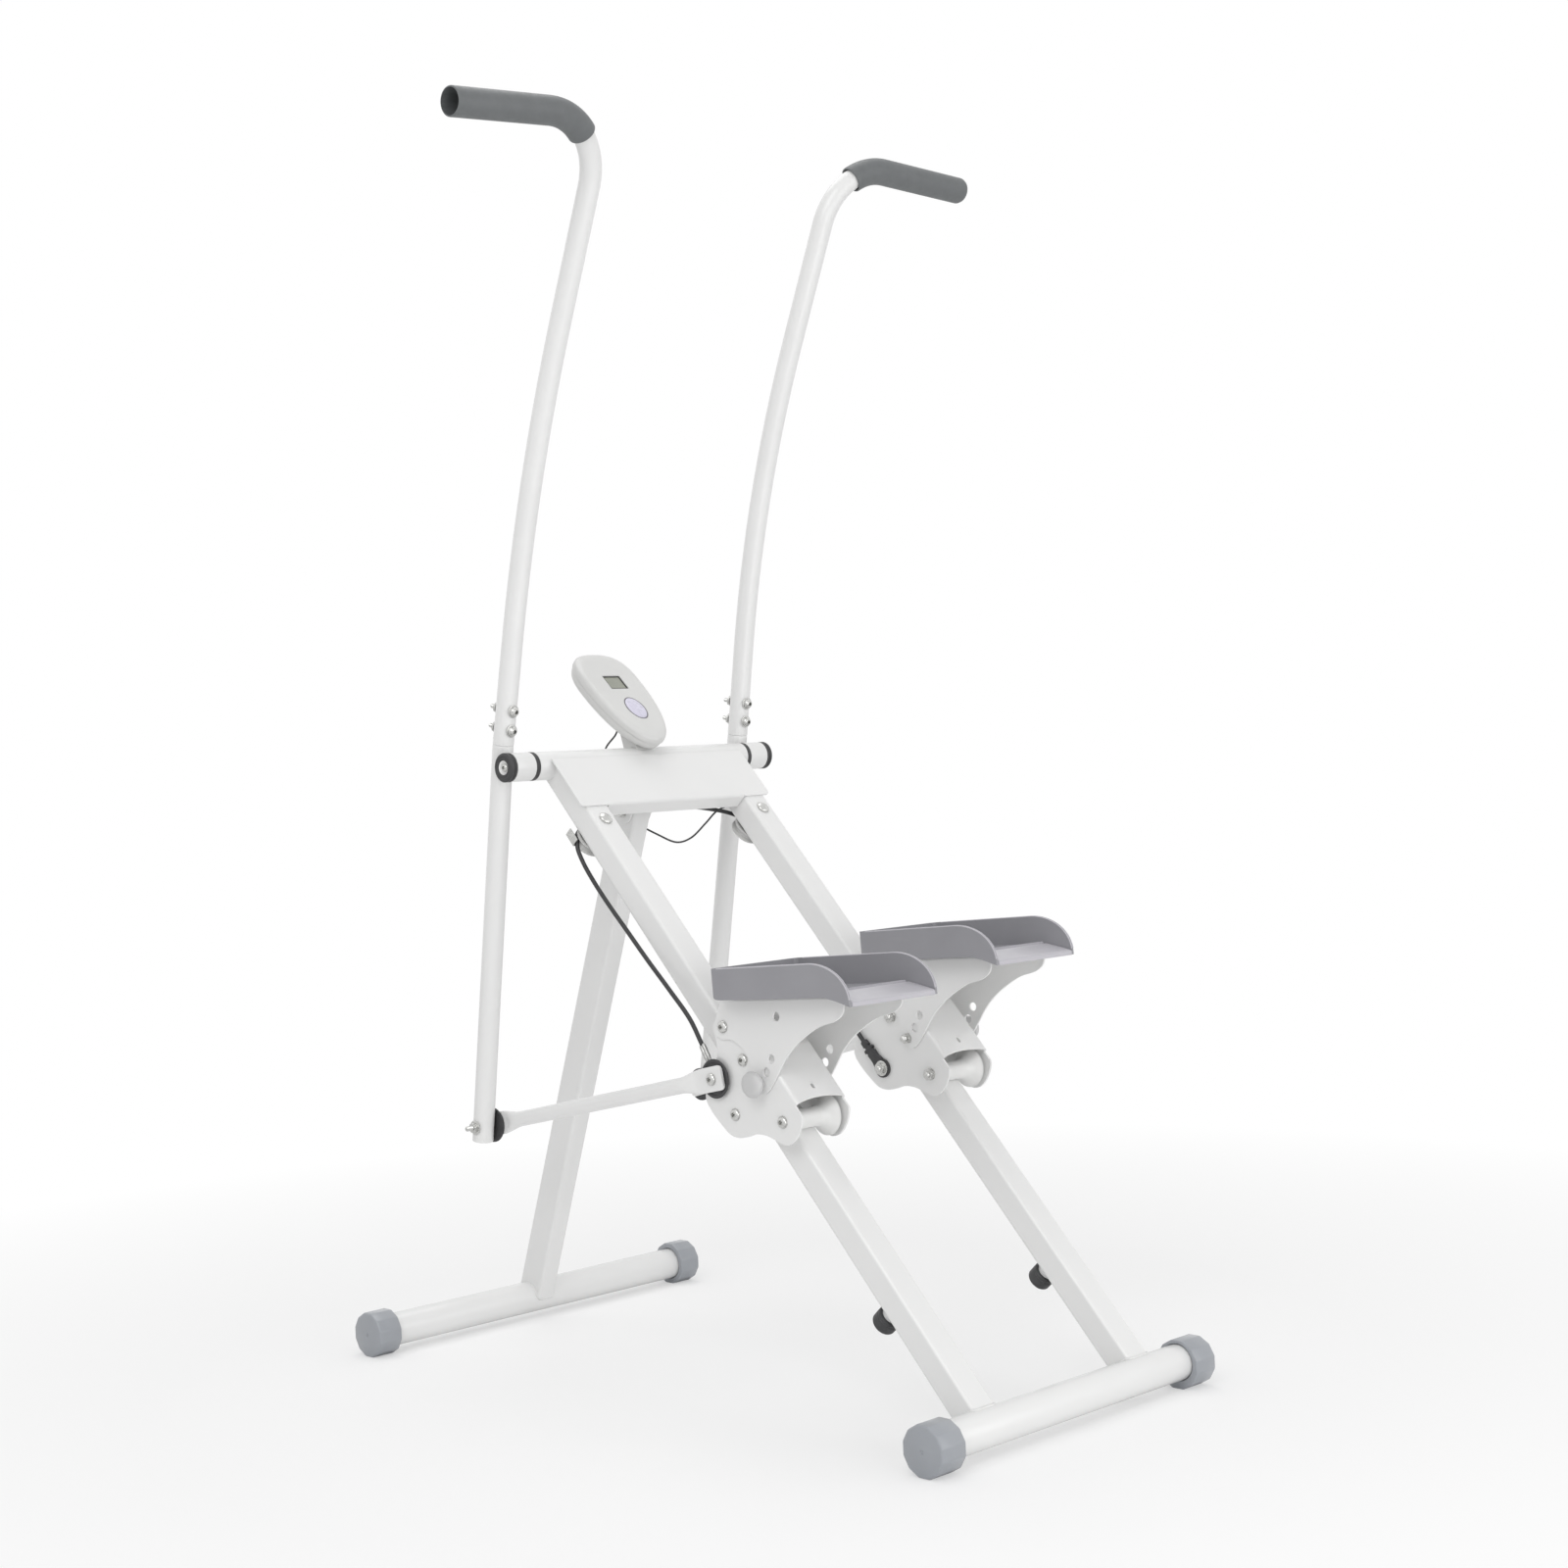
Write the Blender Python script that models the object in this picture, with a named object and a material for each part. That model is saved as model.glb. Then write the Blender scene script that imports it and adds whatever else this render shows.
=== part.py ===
# Vertical climber with two sliding pedals, swinging handle arms and a folding front leg.
# Metres, +Z up. X runs across the machine, +Y is the way the user faces, Z = 0 is the floor.
import math

import bmesh
import bpy
from mathutils import Vector

# Main frame
BAR_Y = 0.216
BAR_Z = 0.801
BAR_RADIUS = 0.019
BAR_BORE = 0.0165
BAR_HALF = 0.1893
RAIL_ANGLE = math.radians(47.65)
RAIL_X = 0.144
RAIL_WIDTH = 0.038
RAIL_DEPTH = 0.037
RAIL_WALL = 0.002
RAIL_LENGTH = 1.045
FOOT_RADIUS = 0.02225
FOOT_BORE = 0.0203
REAR_FOOT_Y = BAR_Y - 0.708
REAR_FOOT_Z = 0.033
REAR_HALF = 0.256
FRONT_FOOT_Y = BAR_Y + 0.276
FRONT_FOOT_Z = 0.030
FRONT_HALF = 0.297
CAP_APOTHEM = 0.030
CAP_WALL = 0.0045
FRONT_CAP_LENGTH = 0.036
REAR_CAP_LENGTH = 0.040
REAR_CAP_OFFSET = 0.003
SHEET = 0.003
GAP = 0.0003

# Folding leg
LEG_WIDTH = 0.030
LEG_DEPTH = 0.045
LEG_PIVOT_Y = BAR_Y + 0.019
LEG_PIVOT_Z = BAR_Z - 0.067
LEG_ABOVE_PIVOT = 0.025

# Pulleys, bumpers and cover at the rails
PULLEY_T = 0.114
PULLEY_H = -0.0252
PULLEY_RADIUS = 0.022
PULLEY_GROOVE = 0.0164
PULLEY_HALF = 0.006
CABLE_RADIUS = 0.0029
CABLE_TURN = 0.0198
BUMPER_T = 0.868
BUMPER_RADIUS = 0.0155
BUMPER_SEAT = -0.0270
COVER_HALF = 0.172
COVER_TOP_T = 0.007
COVER_END_T = 0.0915
COVER_SHEET = 0.002
LIP_DEPTH = 0.0225

# Carriages: places are (distance down the rail from the bar, height over the rail's centre)
CARRIAGE_SHIFT = {"left": 0.0, "right": -0.028}
CARRIAGE_HALF = 0.042
PEDAL_PIVOT = (0.473, 0.0354)
UPPER_ROLLER = (0.522, 0.031)
LOWER_ROLLER = (0.618, 0.031)
UNDER_ROLLER = (0.561, -0.0273)
LINK_PIVOT = (0.510, -0.020)
KNOB_AXIS = (0.562, 0.036)
BRIDGE_TOP = 0.067
ROLLER_WAIST = 0.0122
ROLLER_FLANGE = 0.026
ROLLER_NEAR = 0.0375
ROLLER_FAR = 0.0325
BOLT_RADIUS = 0.004
BRACKET_EDGES = {"left": (0.085, 0.189), "right": (0.099, 0.2065)}
BRACKET_SHEET = 0.0025
KNOB_STEP = math.radians(12.25)

# Pedals
PEDAL_TOE = (BAR_Y - 0.360, 0.511)
PEDAL_PITCH = math.radians(3.7)
PEDAL_X = 0.142
PEDAL_HALF = 0.076
PEDAL_LENGTH = 0.228
PEDAL_NOSE = 0.005
PEDAL_CORNER = 0.010
PEDAL_WALL = 0.040
PEDAL_SKIN = 0.0035

# Arms
ARM_X = 0.214
ARM_RADIUS = 0.014
ARM_BORE = 0.0122
ARM_FRONT = 0.032
ARM_BOTTOM = -0.511
ARM_SEAM = 0.0255
ARM_ANGLE = {"left": math.radians(8.58), "right": math.radians(10.18)}
ARM_LEAN = {"left": math.radians(3.34), "right": math.radians(-1.01)}
SPIGOT_RADIUS = 0.0118
SPIGOT_BORE = 0.0098
SPIGOT_LENGTH = 0.070
SLEEVE_IN = 0.1963
SLEEVE_OUT = 0.228
SLEEVE_BORE = 0.0163
CAP_OUT = 0.2388
KNEE_START = 0.150
KNEE_ANGLE = math.radians(12.82)
KNEE_YAW = math.radians(7.9)
KNEE_RADIUS = 1.962
HANDLE_START = 0.7467
HANDLE_RADIUS = 0.0868
HANDLE_ANGLE = {"left": math.radians(91.86), "right": math.radians(90.25)}
HANDLE_YAW = math.radians(3.0)
HANDLE_LENGTH = {"left": 0.1532, "right": 0.1550}
GRIP_RADIUS = 0.0185
GRIP_START = math.radians(46.0)
ARM_BOLTS = (0.0465, 0.0725)
ARM_LINK_U = -0.491
LINK_X = 0.195
LINK_SHEET = 0.004
LINK_TUBE = 0.010
LINK_FLAT = 0.0155
LINK_BEYOND = 0.018
LINK_BOLT = 0.0035
LINK_FAR_HOLE = 0.0088
DISC_RADIUS = 0.0245

# Console
CONSOLE_Y = BAR_Y + 0.043
CONSOLE_Z = 0.9114
CONSOLE_TILT = math.radians(43.0)
CONSOLE_HALF = 0.050
CONSOLE_WIDEST = 0.005
CONSOLE_UP = 0.058
CONSOLE_DOWN = 0.123
CONSOLE_SEAM = -0.012
CONSOLE_BACK = -0.026
LENS_HALF = 0.0135
BUTTON_AT = -0.055
BUTTON_HALF = (0.015, 0.021)
WIRE_RADIUS = 0.0011

SIDES = {"left": -1.0, "right": 1.0}


def clear_scene():
    for thing in list(bpy.data.objects):
        bpy.data.objects.remove(thing)


def material(name, colour, roughness, metallic=0.0):
    found = bpy.data.materials.get(name)
    if found:
        return found
    made = bpy.data.materials.new(name)
    made.use_nodes = True
    shader = made.node_tree.nodes["Principled BSDF"]
    shader.inputs["Base Color"].default_value = (*colour, 1.0)
    shader.inputs["Roughness"].default_value = roughness
    shader.inputs["Metallic"].default_value = metallic
    return made


def white():
    return material("white_powder_coat", (0.78, 0.78, 0.77), 0.38)


def zinc():
    return material("zinc_plate", (0.62, 0.62, 0.60), 0.28, 1.0)


def rubber():
    return material("black_rubber", (0.045, 0.045, 0.047), 0.6)


def grey_plastic():
    return material("grey_plastic", (0.27, 0.27, 0.30), 0.45)


def rail_point(x, t, h):
    """A point at x across, t down the rail from the bar's axis and h above the rail's centre line."""
    c = math.cos(RAIL_ANGLE)
    s = math.sin(RAIL_ANGLE)
    return Vector((x, BAR_Y - t * c - h * s, BAR_Z - t * s + h * c))


DOWN = rail_point(0, 1, 0) - rail_point(0, 0, 0)
ABOVE = rail_point(0, 0, 1) - rail_point(0, 0, 0)


def circle(radius, count):
    return [
        (radius * math.cos(2 * math.pi * k / count), radius * math.sin(2 * math.pi * k / count))
        for k in range(count)
    ]


def rounded_box(width, depth, radius, steps=1):
    points = []
    corners = ((1, 1, 0), (-1, 1, 90), (-1, -1, 180), (1, -1, 270))
    for sx, sy, start in corners:
        cx = sx * (width / 2 - radius)
        cy = sy * (depth / 2 - radius)
        for k in range(steps + 1):
            a = math.radians(start + 90 * k / steps)
            points.append((cx + radius * math.cos(a), cy + radius * math.sin(a)))
    return points


def place(section, centre, across, up):
    return [centre + across * a + up * b for a, b in section]


def loft(bm, rings, wrap=False):
    """Skins rings of equal count. A wrapped loft closes on itself, an open one gets flat end caps."""
    made = [[bm.verts.new(p) for p in ring] for ring in rings]
    pairs = list(zip(made[:-1], made[1:]))
    if wrap:
        pairs.append((made[-1], made[0]))
    for one, two in pairs:
        count = len(one)
        for k in range(count):
            n = (k + 1) % count
            bm.faces.new((one[k], one[n], two[n], two[k]))
    if not wrap:
        bm.faces.new(list(reversed(made[0])))
        bm.faces.new(made[-1])


def add_object(name, bm, look, parent=None, crease=30.0):
    bmesh.ops.remove_doubles(bm, verts=bm.verts, dist=1e-7)
    bmesh.ops.recalc_face_normals(bm, faces=bm.faces)
    mesh = bpy.data.meshes.new(name)
    bm.to_mesh(mesh)
    bm.free()
    made = bpy.data.objects.new(name, mesh)
    bpy.context.scene.collection.objects.link(made)
    mesh.materials.append(look)
    mesh.shade_smooth()
    mesh.set_sharp_from_angle(angle=math.radians(crease))
    if parent:
        made.parent = parent
        made.matrix_parent_inverse = parent.matrix_world.inverted()
    return made


def hinge_empty(name, location, rotation=(0.0, 0.0, 0.0), parent=None):
    made = bpy.data.objects.new(name, None)
    made.empty_display_size = 0.03
    made.location = location
    made.rotation_euler = rotation
    bpy.context.scene.collection.objects.link(made)
    bpy.context.view_layer.update()
    if parent:
        made.parent = parent
        made.matrix_parent_inverse = parent.matrix_world.inverted()
        bpy.context.view_layer.update()
    return made


def combine(target, tool, operation="DIFFERENCE"):
    """Cuts or joins with another object, which stays in the file as a hidden guide."""
    tool.hide_render = True
    tool.display_type = "WIRE"
    step = target.modifiers.new(operation.lower(), "BOOLEAN")
    step.operation = operation
    step.solver = "EXACT"
    step.object = tool


def rod_rings(start, end, radius, count):
    along = (end - start).normalized()
    across = along.orthogonal().normalized()
    up = along.cross(across)
    section = circle(radius, count)
    return [place(section, start, across, up), place(section, end, across, up)]


def add_rod(bm, start, end, radius, count=8):
    loft(bm, rod_rings(start, end, radius, count))


def rod_object(name, start, end, radius, look, parent=None, count=10):
    bm = bmesh.new()
    add_rod(bm, start, end, radius, count)
    return add_object(name, bm, look, parent)


def add_turned(bm, origin, axis, profile, count=24, wrap=False):
    """Turns a profile of (along, radius) about an axis. A wrapped profile has a bore."""
    across = axis.orthogonal().normalized()
    up = axis.cross(across)
    rings = [place(circle(r, count), origin + axis * a, across, up) for a, r in profile]
    loft(bm, rings, wrap)


def add_prism(bm, corners, offset):
    """Extrudes a flat outline of 3-D corners by a vector."""
    loft(bm, [corners, [p + offset for p in corners]])


def prism_object(name, corners, offset, look, parent=None, crease=30.0):
    bm = bmesh.new()
    add_prism(bm, corners, offset)
    return add_object(name, bm, look, parent, crease)


def arc_points(centre, radius, start, end, steps):
    return [
        (
            centre[0] + radius * math.cos(math.radians(start + (end - start) * k / steps)),
            centre[1] + radius * math.sin(math.radians(start + (end - start) * k / steps)),
        )
        for k in range(steps + 1)
    ]


def add_hollow_section(bm, start, end, across, up, outer, inner):
    rings = [place(outer, start, across, up), place(outer, end, across, up)]
    rings += [place(inner, end, across, up), place(inner, start, across, up)]
    loft(bm, rings, wrap=True)


def add_swept_tube(bm, points, radii, bores, count):
    """A hollow round tube along a path that stays in planes near upright, ring by ring."""
    rings = []
    across = None
    frames = []
    for k, point in enumerate(points):
        before = points[max(k - 1, 0)]
        after = points[min(k + 1, len(points) - 1)]
        along = (after - before).normalized()
        if across is None:
            across = Vector((0.0, 1.0, 0.0)) - along * along.y
        across = (across - along * across.dot(along)).normalized()
        frames.append((point, across.copy(), along.cross(across)))
    for (point, side, up), radius in zip(frames, radii):
        rings.append(place(circle(radius, count), point, side, up))
    for (point, side, up), bore in reversed(list(zip(frames, bores))):
        rings.append(place(circle(bore, count), point, side, up))
    loft(bm, rings, wrap=True)


def add_through_bolt(bm, head_at, nut_at, washer=0.008, head=0.0068, shank=BOLT_RADIUS, tail=0.003):
    """A bolt with its domed head at one end and a nut at the other, as one solid."""
    along = (nut_at - head_at).normalized()
    length = (nut_at - head_at).length
    profile = [(-0.0044, head * 0.35), (-0.0030, head), (0.0, washer), (0.0, shank), (length, shank)]
    profile += [(length, washer), (length + 0.0062, head), (length + 0.0062 + tail, shank * 0.8)]
    add_turned(bm, head_at, along, profile, 6)


def build_crossbar():
    bm = bmesh.new()
    x_axis = Vector((1, 0, 0))
    middle = Vector((0, BAR_Y, BAR_Z))
    profile = [(-BAR_HALF, BAR_RADIUS), (BAR_HALF, BAR_RADIUS), (BAR_HALF, BAR_BORE), (-BAR_HALF, BAR_BORE)]
    add_turned(bm, middle, x_axis, profile, 24, wrap=True)
    add_object("crossbar", bm, white())

    collar_in = 0.150
    collar_out = 0.186
    shaft = 0.0125
    collar = BAR_BORE - GAP
    bm = bmesh.new()
    seat = CAP_OUT - 0.004 + GAP
    half = [(collar_in, shaft), (collar_in, collar), (collar_out, collar), (collar_out, shaft)]
    half += [(SLEEVE_OUT, shaft), (SLEEVE_OUT, 0.0034), (seat, 0.0034), (seat, 0.0080)]
    half += [(seat + 0.0012, 0.0075), (seat + 0.0034, 0.0045)]
    profile = [(-a, r) for a, r in reversed(half)] + half
    add_turned(bm, middle, x_axis, profile, 12)
    add_object("pivot_shaft", bm, zinc())

    bore = shaft + GAP
    for side, sign in SIDES.items():
        out = x_axis * sign
        barrel = SLEEVE_BORE - GAP
        flange_in = BAR_HALF + GAP
        flange_out = SLEEVE_IN - GAP
        profile = [(flange_in, bore), (flange_in, BAR_RADIUS), (flange_out, BAR_RADIUS)]
        profile += [(flange_out, barrel), (0.206, barrel), (0.206, bore)]
        bm = bmesh.new()
        add_turned(bm, middle, out, profile, 16, wrap=True)
        add_object("pivot_bush_" + side, bm, rubber())
        cap_in = SLEEVE_OUT + GAP
        profile = [(0.2125, bore), (0.2125, barrel), (cap_in, barrel), (cap_in, BAR_RADIUS)]
        profile += [(CAP_OUT - 0.0015, BAR_RADIUS), (CAP_OUT, BAR_RADIUS - 0.0015), (CAP_OUT, 0.0095)]
        profile += [(CAP_OUT - 0.004, 0.0088), (CAP_OUT - 0.004, 0.0037), (cap_in, 0.0037), (cap_in, bore)]
        bm = bmesh.new()
        add_turned(bm, middle, out, profile, 16, wrap=True)
        add_object("pivot_end_cap_" + side, bm, rubber())


def build_rails():
    x_axis = Vector((1, 0, 0))
    outer = rounded_box(RAIL_WIDTH, RAIL_DEPTH, 0.005)
    inner = rounded_box(RAIL_WIDTH - 2 * RAIL_WALL, RAIL_DEPTH - 2 * RAIL_WALL, 0.003)
    middle = Vector((0, BAR_Y, BAR_Z))
    foot = Vector((0, REAR_FOOT_Y, REAR_FOOT_Z))
    for side, sign in SIDES.items():
        x = sign * RAIL_X
        bm = bmesh.new()
        top = rail_point(x, -0.004, 0)
        end = rail_point(x, RAIL_LENGTH, 0)
        add_hollow_section(bm, top, end, x_axis, ABOVE, outer, inner)
        rail = add_object("rail_" + side, bm, white())
        boss_top = rail_point(x, BUMPER_T, -RAIL_DEPTH / 2 + 0.001)
        boss = rod_object("bumper_boss_" + side, boss_top, rail_point(x, BUMPER_T, BUMPER_SEAT), 0.0115,
                          white(), count=14)
        combine(rail, boss, "UNION")
        reach = x_axis * 0.04
        centre = Vector((x, 0, 0))
        combine(rail, rod_object("cope_top_" + side, centre + middle - reach, centre + middle + reach,
                                 BAR_RADIUS + GAP, white(), count=24))
        combine(rail, rod_object("cope_foot_" + side, centre + foot - reach, centre + foot + reach,
                                 FOOT_RADIUS + GAP, white(), count=24))
        hole = rod_object("axle_hole_" + side, rail_point(x, PULLEY_T, -0.03), rail_point(x, PULLEY_T, 0.03),
                          BOLT_RADIUS + GAP, white())
        combine(rail, hole)
        bm = bmesh.new()
        add_through_bolt(bm, rail_point(x, PULLEY_T, RAIL_DEPTH / 2 + GAP),
                         rail_point(x, PULLEY_T, -0.0341), washer=0.0095, head=0.0090, tail=0.002)
        axle = add_object("pulley_axle_" + side, bm, zinc())
        combine(axle, build_cable_guard(side, sign), "UNION")


def build_cable_guard(side, sign):
    """The small angle under the pulley that keeps the cable in its groove."""
    plate_top = PULLEY_H - PULLEY_HALF - GAP
    turned_up = PULLEY_H + 0.0055
    shape = [(-0.010, plate_top - 0.0018), (0.0262, plate_top - 0.0018), (0.0262, turned_up)]
    shape += [(0.0244, turned_up), (0.0244, plate_top), (-0.010, plate_top)]
    corners = [rail_point(sign * (RAIL_X + x), PULLEY_T - 0.020, h) for x, h in shape]
    return prism_object("cable_guard_" + side, corners, DOWN * 0.026, zinc())


def build_cover():
    base = RAIL_DEPTH / 2 + GAP
    top = base + COVER_SHEET
    radius = 0.006
    flat = [(-COVER_HALF, COVER_TOP_T)]
    flat += [(x, t) for x, t in arc_points((-COVER_HALF + radius, COVER_END_T - radius), radius, 180, 90, 3)]
    flat += [(x, t) for x, t in arc_points((COVER_HALF - radius, COVER_END_T - radius), radius, 90, 0, 3)]
    flat += [(COVER_HALF, COVER_TOP_T)]
    corners = [rail_point(x, t, base) for x, t in flat]
    cover = prism_object("cover_plate", corners, ABOVE * COVER_SHEET, white())
    lip_half = RAIL_X - RAIL_WIDTH / 2 - 0.0012
    lip = [(COVER_END_T - COVER_SHEET, base + 0.0005), (COVER_END_T, base + 0.0005)]
    lip += [(COVER_END_T, top - LIP_DEPTH), (COVER_END_T - COVER_SHEET, top - LIP_DEPTH)]
    corners = [rail_point(-lip_half, t, h) for t, h in lip]
    lip_object = prism_object("cover_lip", corners, Vector((2 * lip_half, 0, 0)), white())
    combine(cover, lip_object, "UNION")


def build_pulleys():
    for side, sign in SIDES.items():
        pivot = hinge_empty("pulley_axis_" + side, rail_point(sign * RAIL_X, PULLEY_T, PULLEY_H))
        bore = BOLT_RADIUS + GAP
        bm = bmesh.new()
        profile = [(-PULLEY_HALF, bore), (-PULLEY_HALF, PULLEY_RADIUS), (-0.0045, PULLEY_RADIUS)]
        profile += [(-0.0032, PULLEY_GROOVE), (0.0032, PULLEY_GROOVE), (0.0045, PULLEY_RADIUS)]
        profile += [(PULLEY_HALF, PULLEY_RADIUS), (PULLEY_HALF, bore)]
        add_turned(bm, pivot.location, ABOVE, profile, 18, wrap=True)
        add_object("pulley_" + side, bm, material("pulley_nylon", (0.55, 0.55, 0.55), 0.5), pivot)


def build_feet(leg_axis):
    x_axis = Vector((1, 0, 0))
    for name, y, z, half, parent in (
        ("rear_foot_tube", REAR_FOOT_Y, REAR_FOOT_Z, REAR_HALF, None),
        ("front_foot_tube", FRONT_FOOT_Y, FRONT_FOOT_Z, FRONT_HALF, leg_axis),
    ):
        end = half - CAP_WALL - GAP
        bm = bmesh.new()
        profile = [(-end, FOOT_RADIUS), (end, FOOT_RADIUS), (end, FOOT_BORE), (-end, FOOT_BORE)]
        add_turned(bm, Vector((0, y, z)), x_axis, profile, 24, wrap=True)
        add_object(name, bm, white(), parent)
    for side, sign in SIDES.items():
        add_foot_cap("front_cap_" + side, sign, FRONT_FOOT_Y, FRONT_FOOT_Z, FRONT_HALF, FRONT_CAP_LENGTH,
                     0.0, leg_axis)
        axis = hinge_empty("rear_cap_axis_" + side, (sign * REAR_HALF, REAR_FOOT_Y, REAR_FOOT_Z))
        add_foot_cap("rear_cap_" + side, sign, REAR_FOOT_Y, REAR_FOOT_Z, REAR_HALF, REAR_CAP_LENGTH,
                     REAR_CAP_OFFSET, axis)


def add_foot_cap(name, sign, y, z, half, length, offset, parent):
    """A twelve-sided plastic cap with a round socket over the tube's end."""
    sides = 12
    corner = CAP_APOTHEM / math.cos(math.pi / sides)
    edge = 0.003
    across = Vector((0, 1, 0))
    up = Vector((0, 0, 1))
    out = Vector((sign, 0, 0))
    turn = math.pi / sides

    def outline(radius):
        return [
            (radius * math.cos(turn * (2 * k + 1)), radius * math.sin(turn * (2 * k + 1)))
            for k in range(sides)
        ]

    middle = Vector((0, y, z - offset))
    inner_face = half - length
    rings = [place(outline(corner - 0.0015), middle + out * inner_face, across, up)]
    rings.append(place(outline(corner), middle + out * (inner_face + 0.0015), across, up))
    rings.append(place(outline(corner), middle + out * (half - edge), across, up))
    rings.append(place(outline(corner - edge), middle + out * half, across, up))
    bm = bmesh.new()
    loft(bm, rings)
    cap = add_object(name, bm, material("cap_plastic", (0.30, 0.32, 0.34), 0.5), parent, crease=20.0)
    axis_point = Vector((0, y, z))
    socket = rod_object(name + "_socket", axis_point + out * (inner_face - 0.01),
                        axis_point + out * (half - CAP_WALL), FOOT_RADIUS + GAP, white(), parent, count=24)
    combine(cap, socket)


def build_bumpers():
    for side, sign in SIDES.items():
        profile = [(0.0, BUMPER_RADIUS - 0.0006), (0.0006, BUMPER_RADIUS), (0.0170, BUMPER_RADIUS)]
        profile += [(0.0193, BUMPER_RADIUS - 0.0025)]
        seat = rail_point(sign * RAIL_X, BUMPER_T, BUMPER_SEAT - GAP)
        bm = bmesh.new()
        add_turned(bm, seat, -ABOVE, profile, 16)
        add_object("bumper_" + side, bm, rubber())


def build_leg(axis):
    pivot = Vector((0, LEG_PIVOT_Y, LEG_PIVOT_Z))
    foot = Vector((0, FRONT_FOOT_Y, FRONT_FOOT_Z))
    along = (foot - pivot).normalized()
    x_axis = Vector((1, 0, 0))
    fore = x_axis.cross(along).normalized()
    outer = rounded_box(LEG_WIDTH, LEG_DEPTH, 0.004)
    inner = rounded_box(LEG_WIDTH - 2 * RAIL_WALL, LEG_DEPTH - 2 * RAIL_WALL, 0.002)
    bm = bmesh.new()
    add_hollow_section(bm, pivot - along * LEG_ABOVE_PIVOT, foot - along * 0.006, x_axis, fore, outer, inner)
    leg = add_object("leg_tube", bm, white(), axis)
    reach = x_axis * 0.03
    combine(leg, rod_object("cope_leg", foot - reach, foot + reach, FOOT_RADIUS + GAP, white(), axis, 24))
    combine(leg, rod_object("leg_pivot_hole", pivot - reach, pivot + reach, 0.0053, white(), axis))


def build_leg_hinge():
    flange_out = LEG_WIDTH / 2 + 0.0005 + SHEET
    rise = BAR_Z - LEG_PIVOT_Z
    drop = LEG_PIVOT_Y - BAR_Y
    shape = [(-0.0195, -0.008), (-0.0195, -0.050)]
    shape += arc_points((drop, -rise), 0.018, 200, 350, 5)
    shape += [(0.026, -0.030), (0.0185, -0.008)]
    corners = [Vector((-flange_out, BAR_Y + y, BAR_Z + z)) for y, z in shape]
    bracket = prism_object("leg_hinge_bracket", corners, Vector((2 * flange_out, 0, 0)), white())
    inside = flange_out - SHEET
    slot = [(-0.0165, -0.0235), (-0.0165, -0.0480), (-0.040, -0.0480), (-0.040, -0.100)]
    slot += [(0.060, -0.100), (0.060, -0.0235)]
    corners = [Vector((-inside, BAR_Y + y, BAR_Z + z)) for y, z in slot]
    combine(bracket, prism_object("hinge_slot", corners, Vector((2 * inside, 0, 0)), white()))
    reach = Vector((0.04, 0, 0))
    bar = Vector((0, BAR_Y, BAR_Z))
    combine(bracket, rod_object("hinge_saddle", bar - reach, bar + reach, BAR_RADIUS + GAP,
                                white(), count=24))
    pivot = Vector((0, LEG_PIVOT_Y, LEG_PIVOT_Z))
    combine(bracket, rod_object("hinge_hole", pivot - reach, pivot + reach, 0.0053, white()))
    bm = bmesh.new()
    face = Vector((flange_out + GAP, 0, 0))
    add_through_bolt(bm, pivot + face, pivot - face, washer=0.0095, head=0.0080, shank=0.005)
    add_object("leg_hinge_bolt", bm, zinc())


def carriage_point(side, x, place_th):
    """A point on a carriage: x is the distance from the machine's middle plane."""
    return rail_point(SIDES[side] * x, place_th[0] + CARRIAGE_SHIFT[side], place_th[1])


def carriage_outline():
    shape = [(0.460, 0.0180), (0.4560, 0.0330), (0.4600, 0.0470), (0.4720, 0.0545), (0.5050, 0.0570)]
    shape += [(0.5350, BRIDGE_TOP), (0.6230, BRIDGE_TOP), (0.6370, 0.0570), (0.6450, 0.0400)]
    shape += [(0.6455, 0.0240), (0.6400, 0.0140), (0.6270, 0.0060), (0.6130, -0.0025), (0.6010, -0.0150)]
    shape += [(0.5930, -0.0310), (0.5850, -0.0430), (0.5750, -0.0510), (0.5640, -0.0545), (0.5140, -0.0550)]
    shape += [(0.5030, -0.0330), (0.4960, -0.0150), (0.4880, 0.0010), (0.4730, 0.0120)]
    return shape


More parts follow.
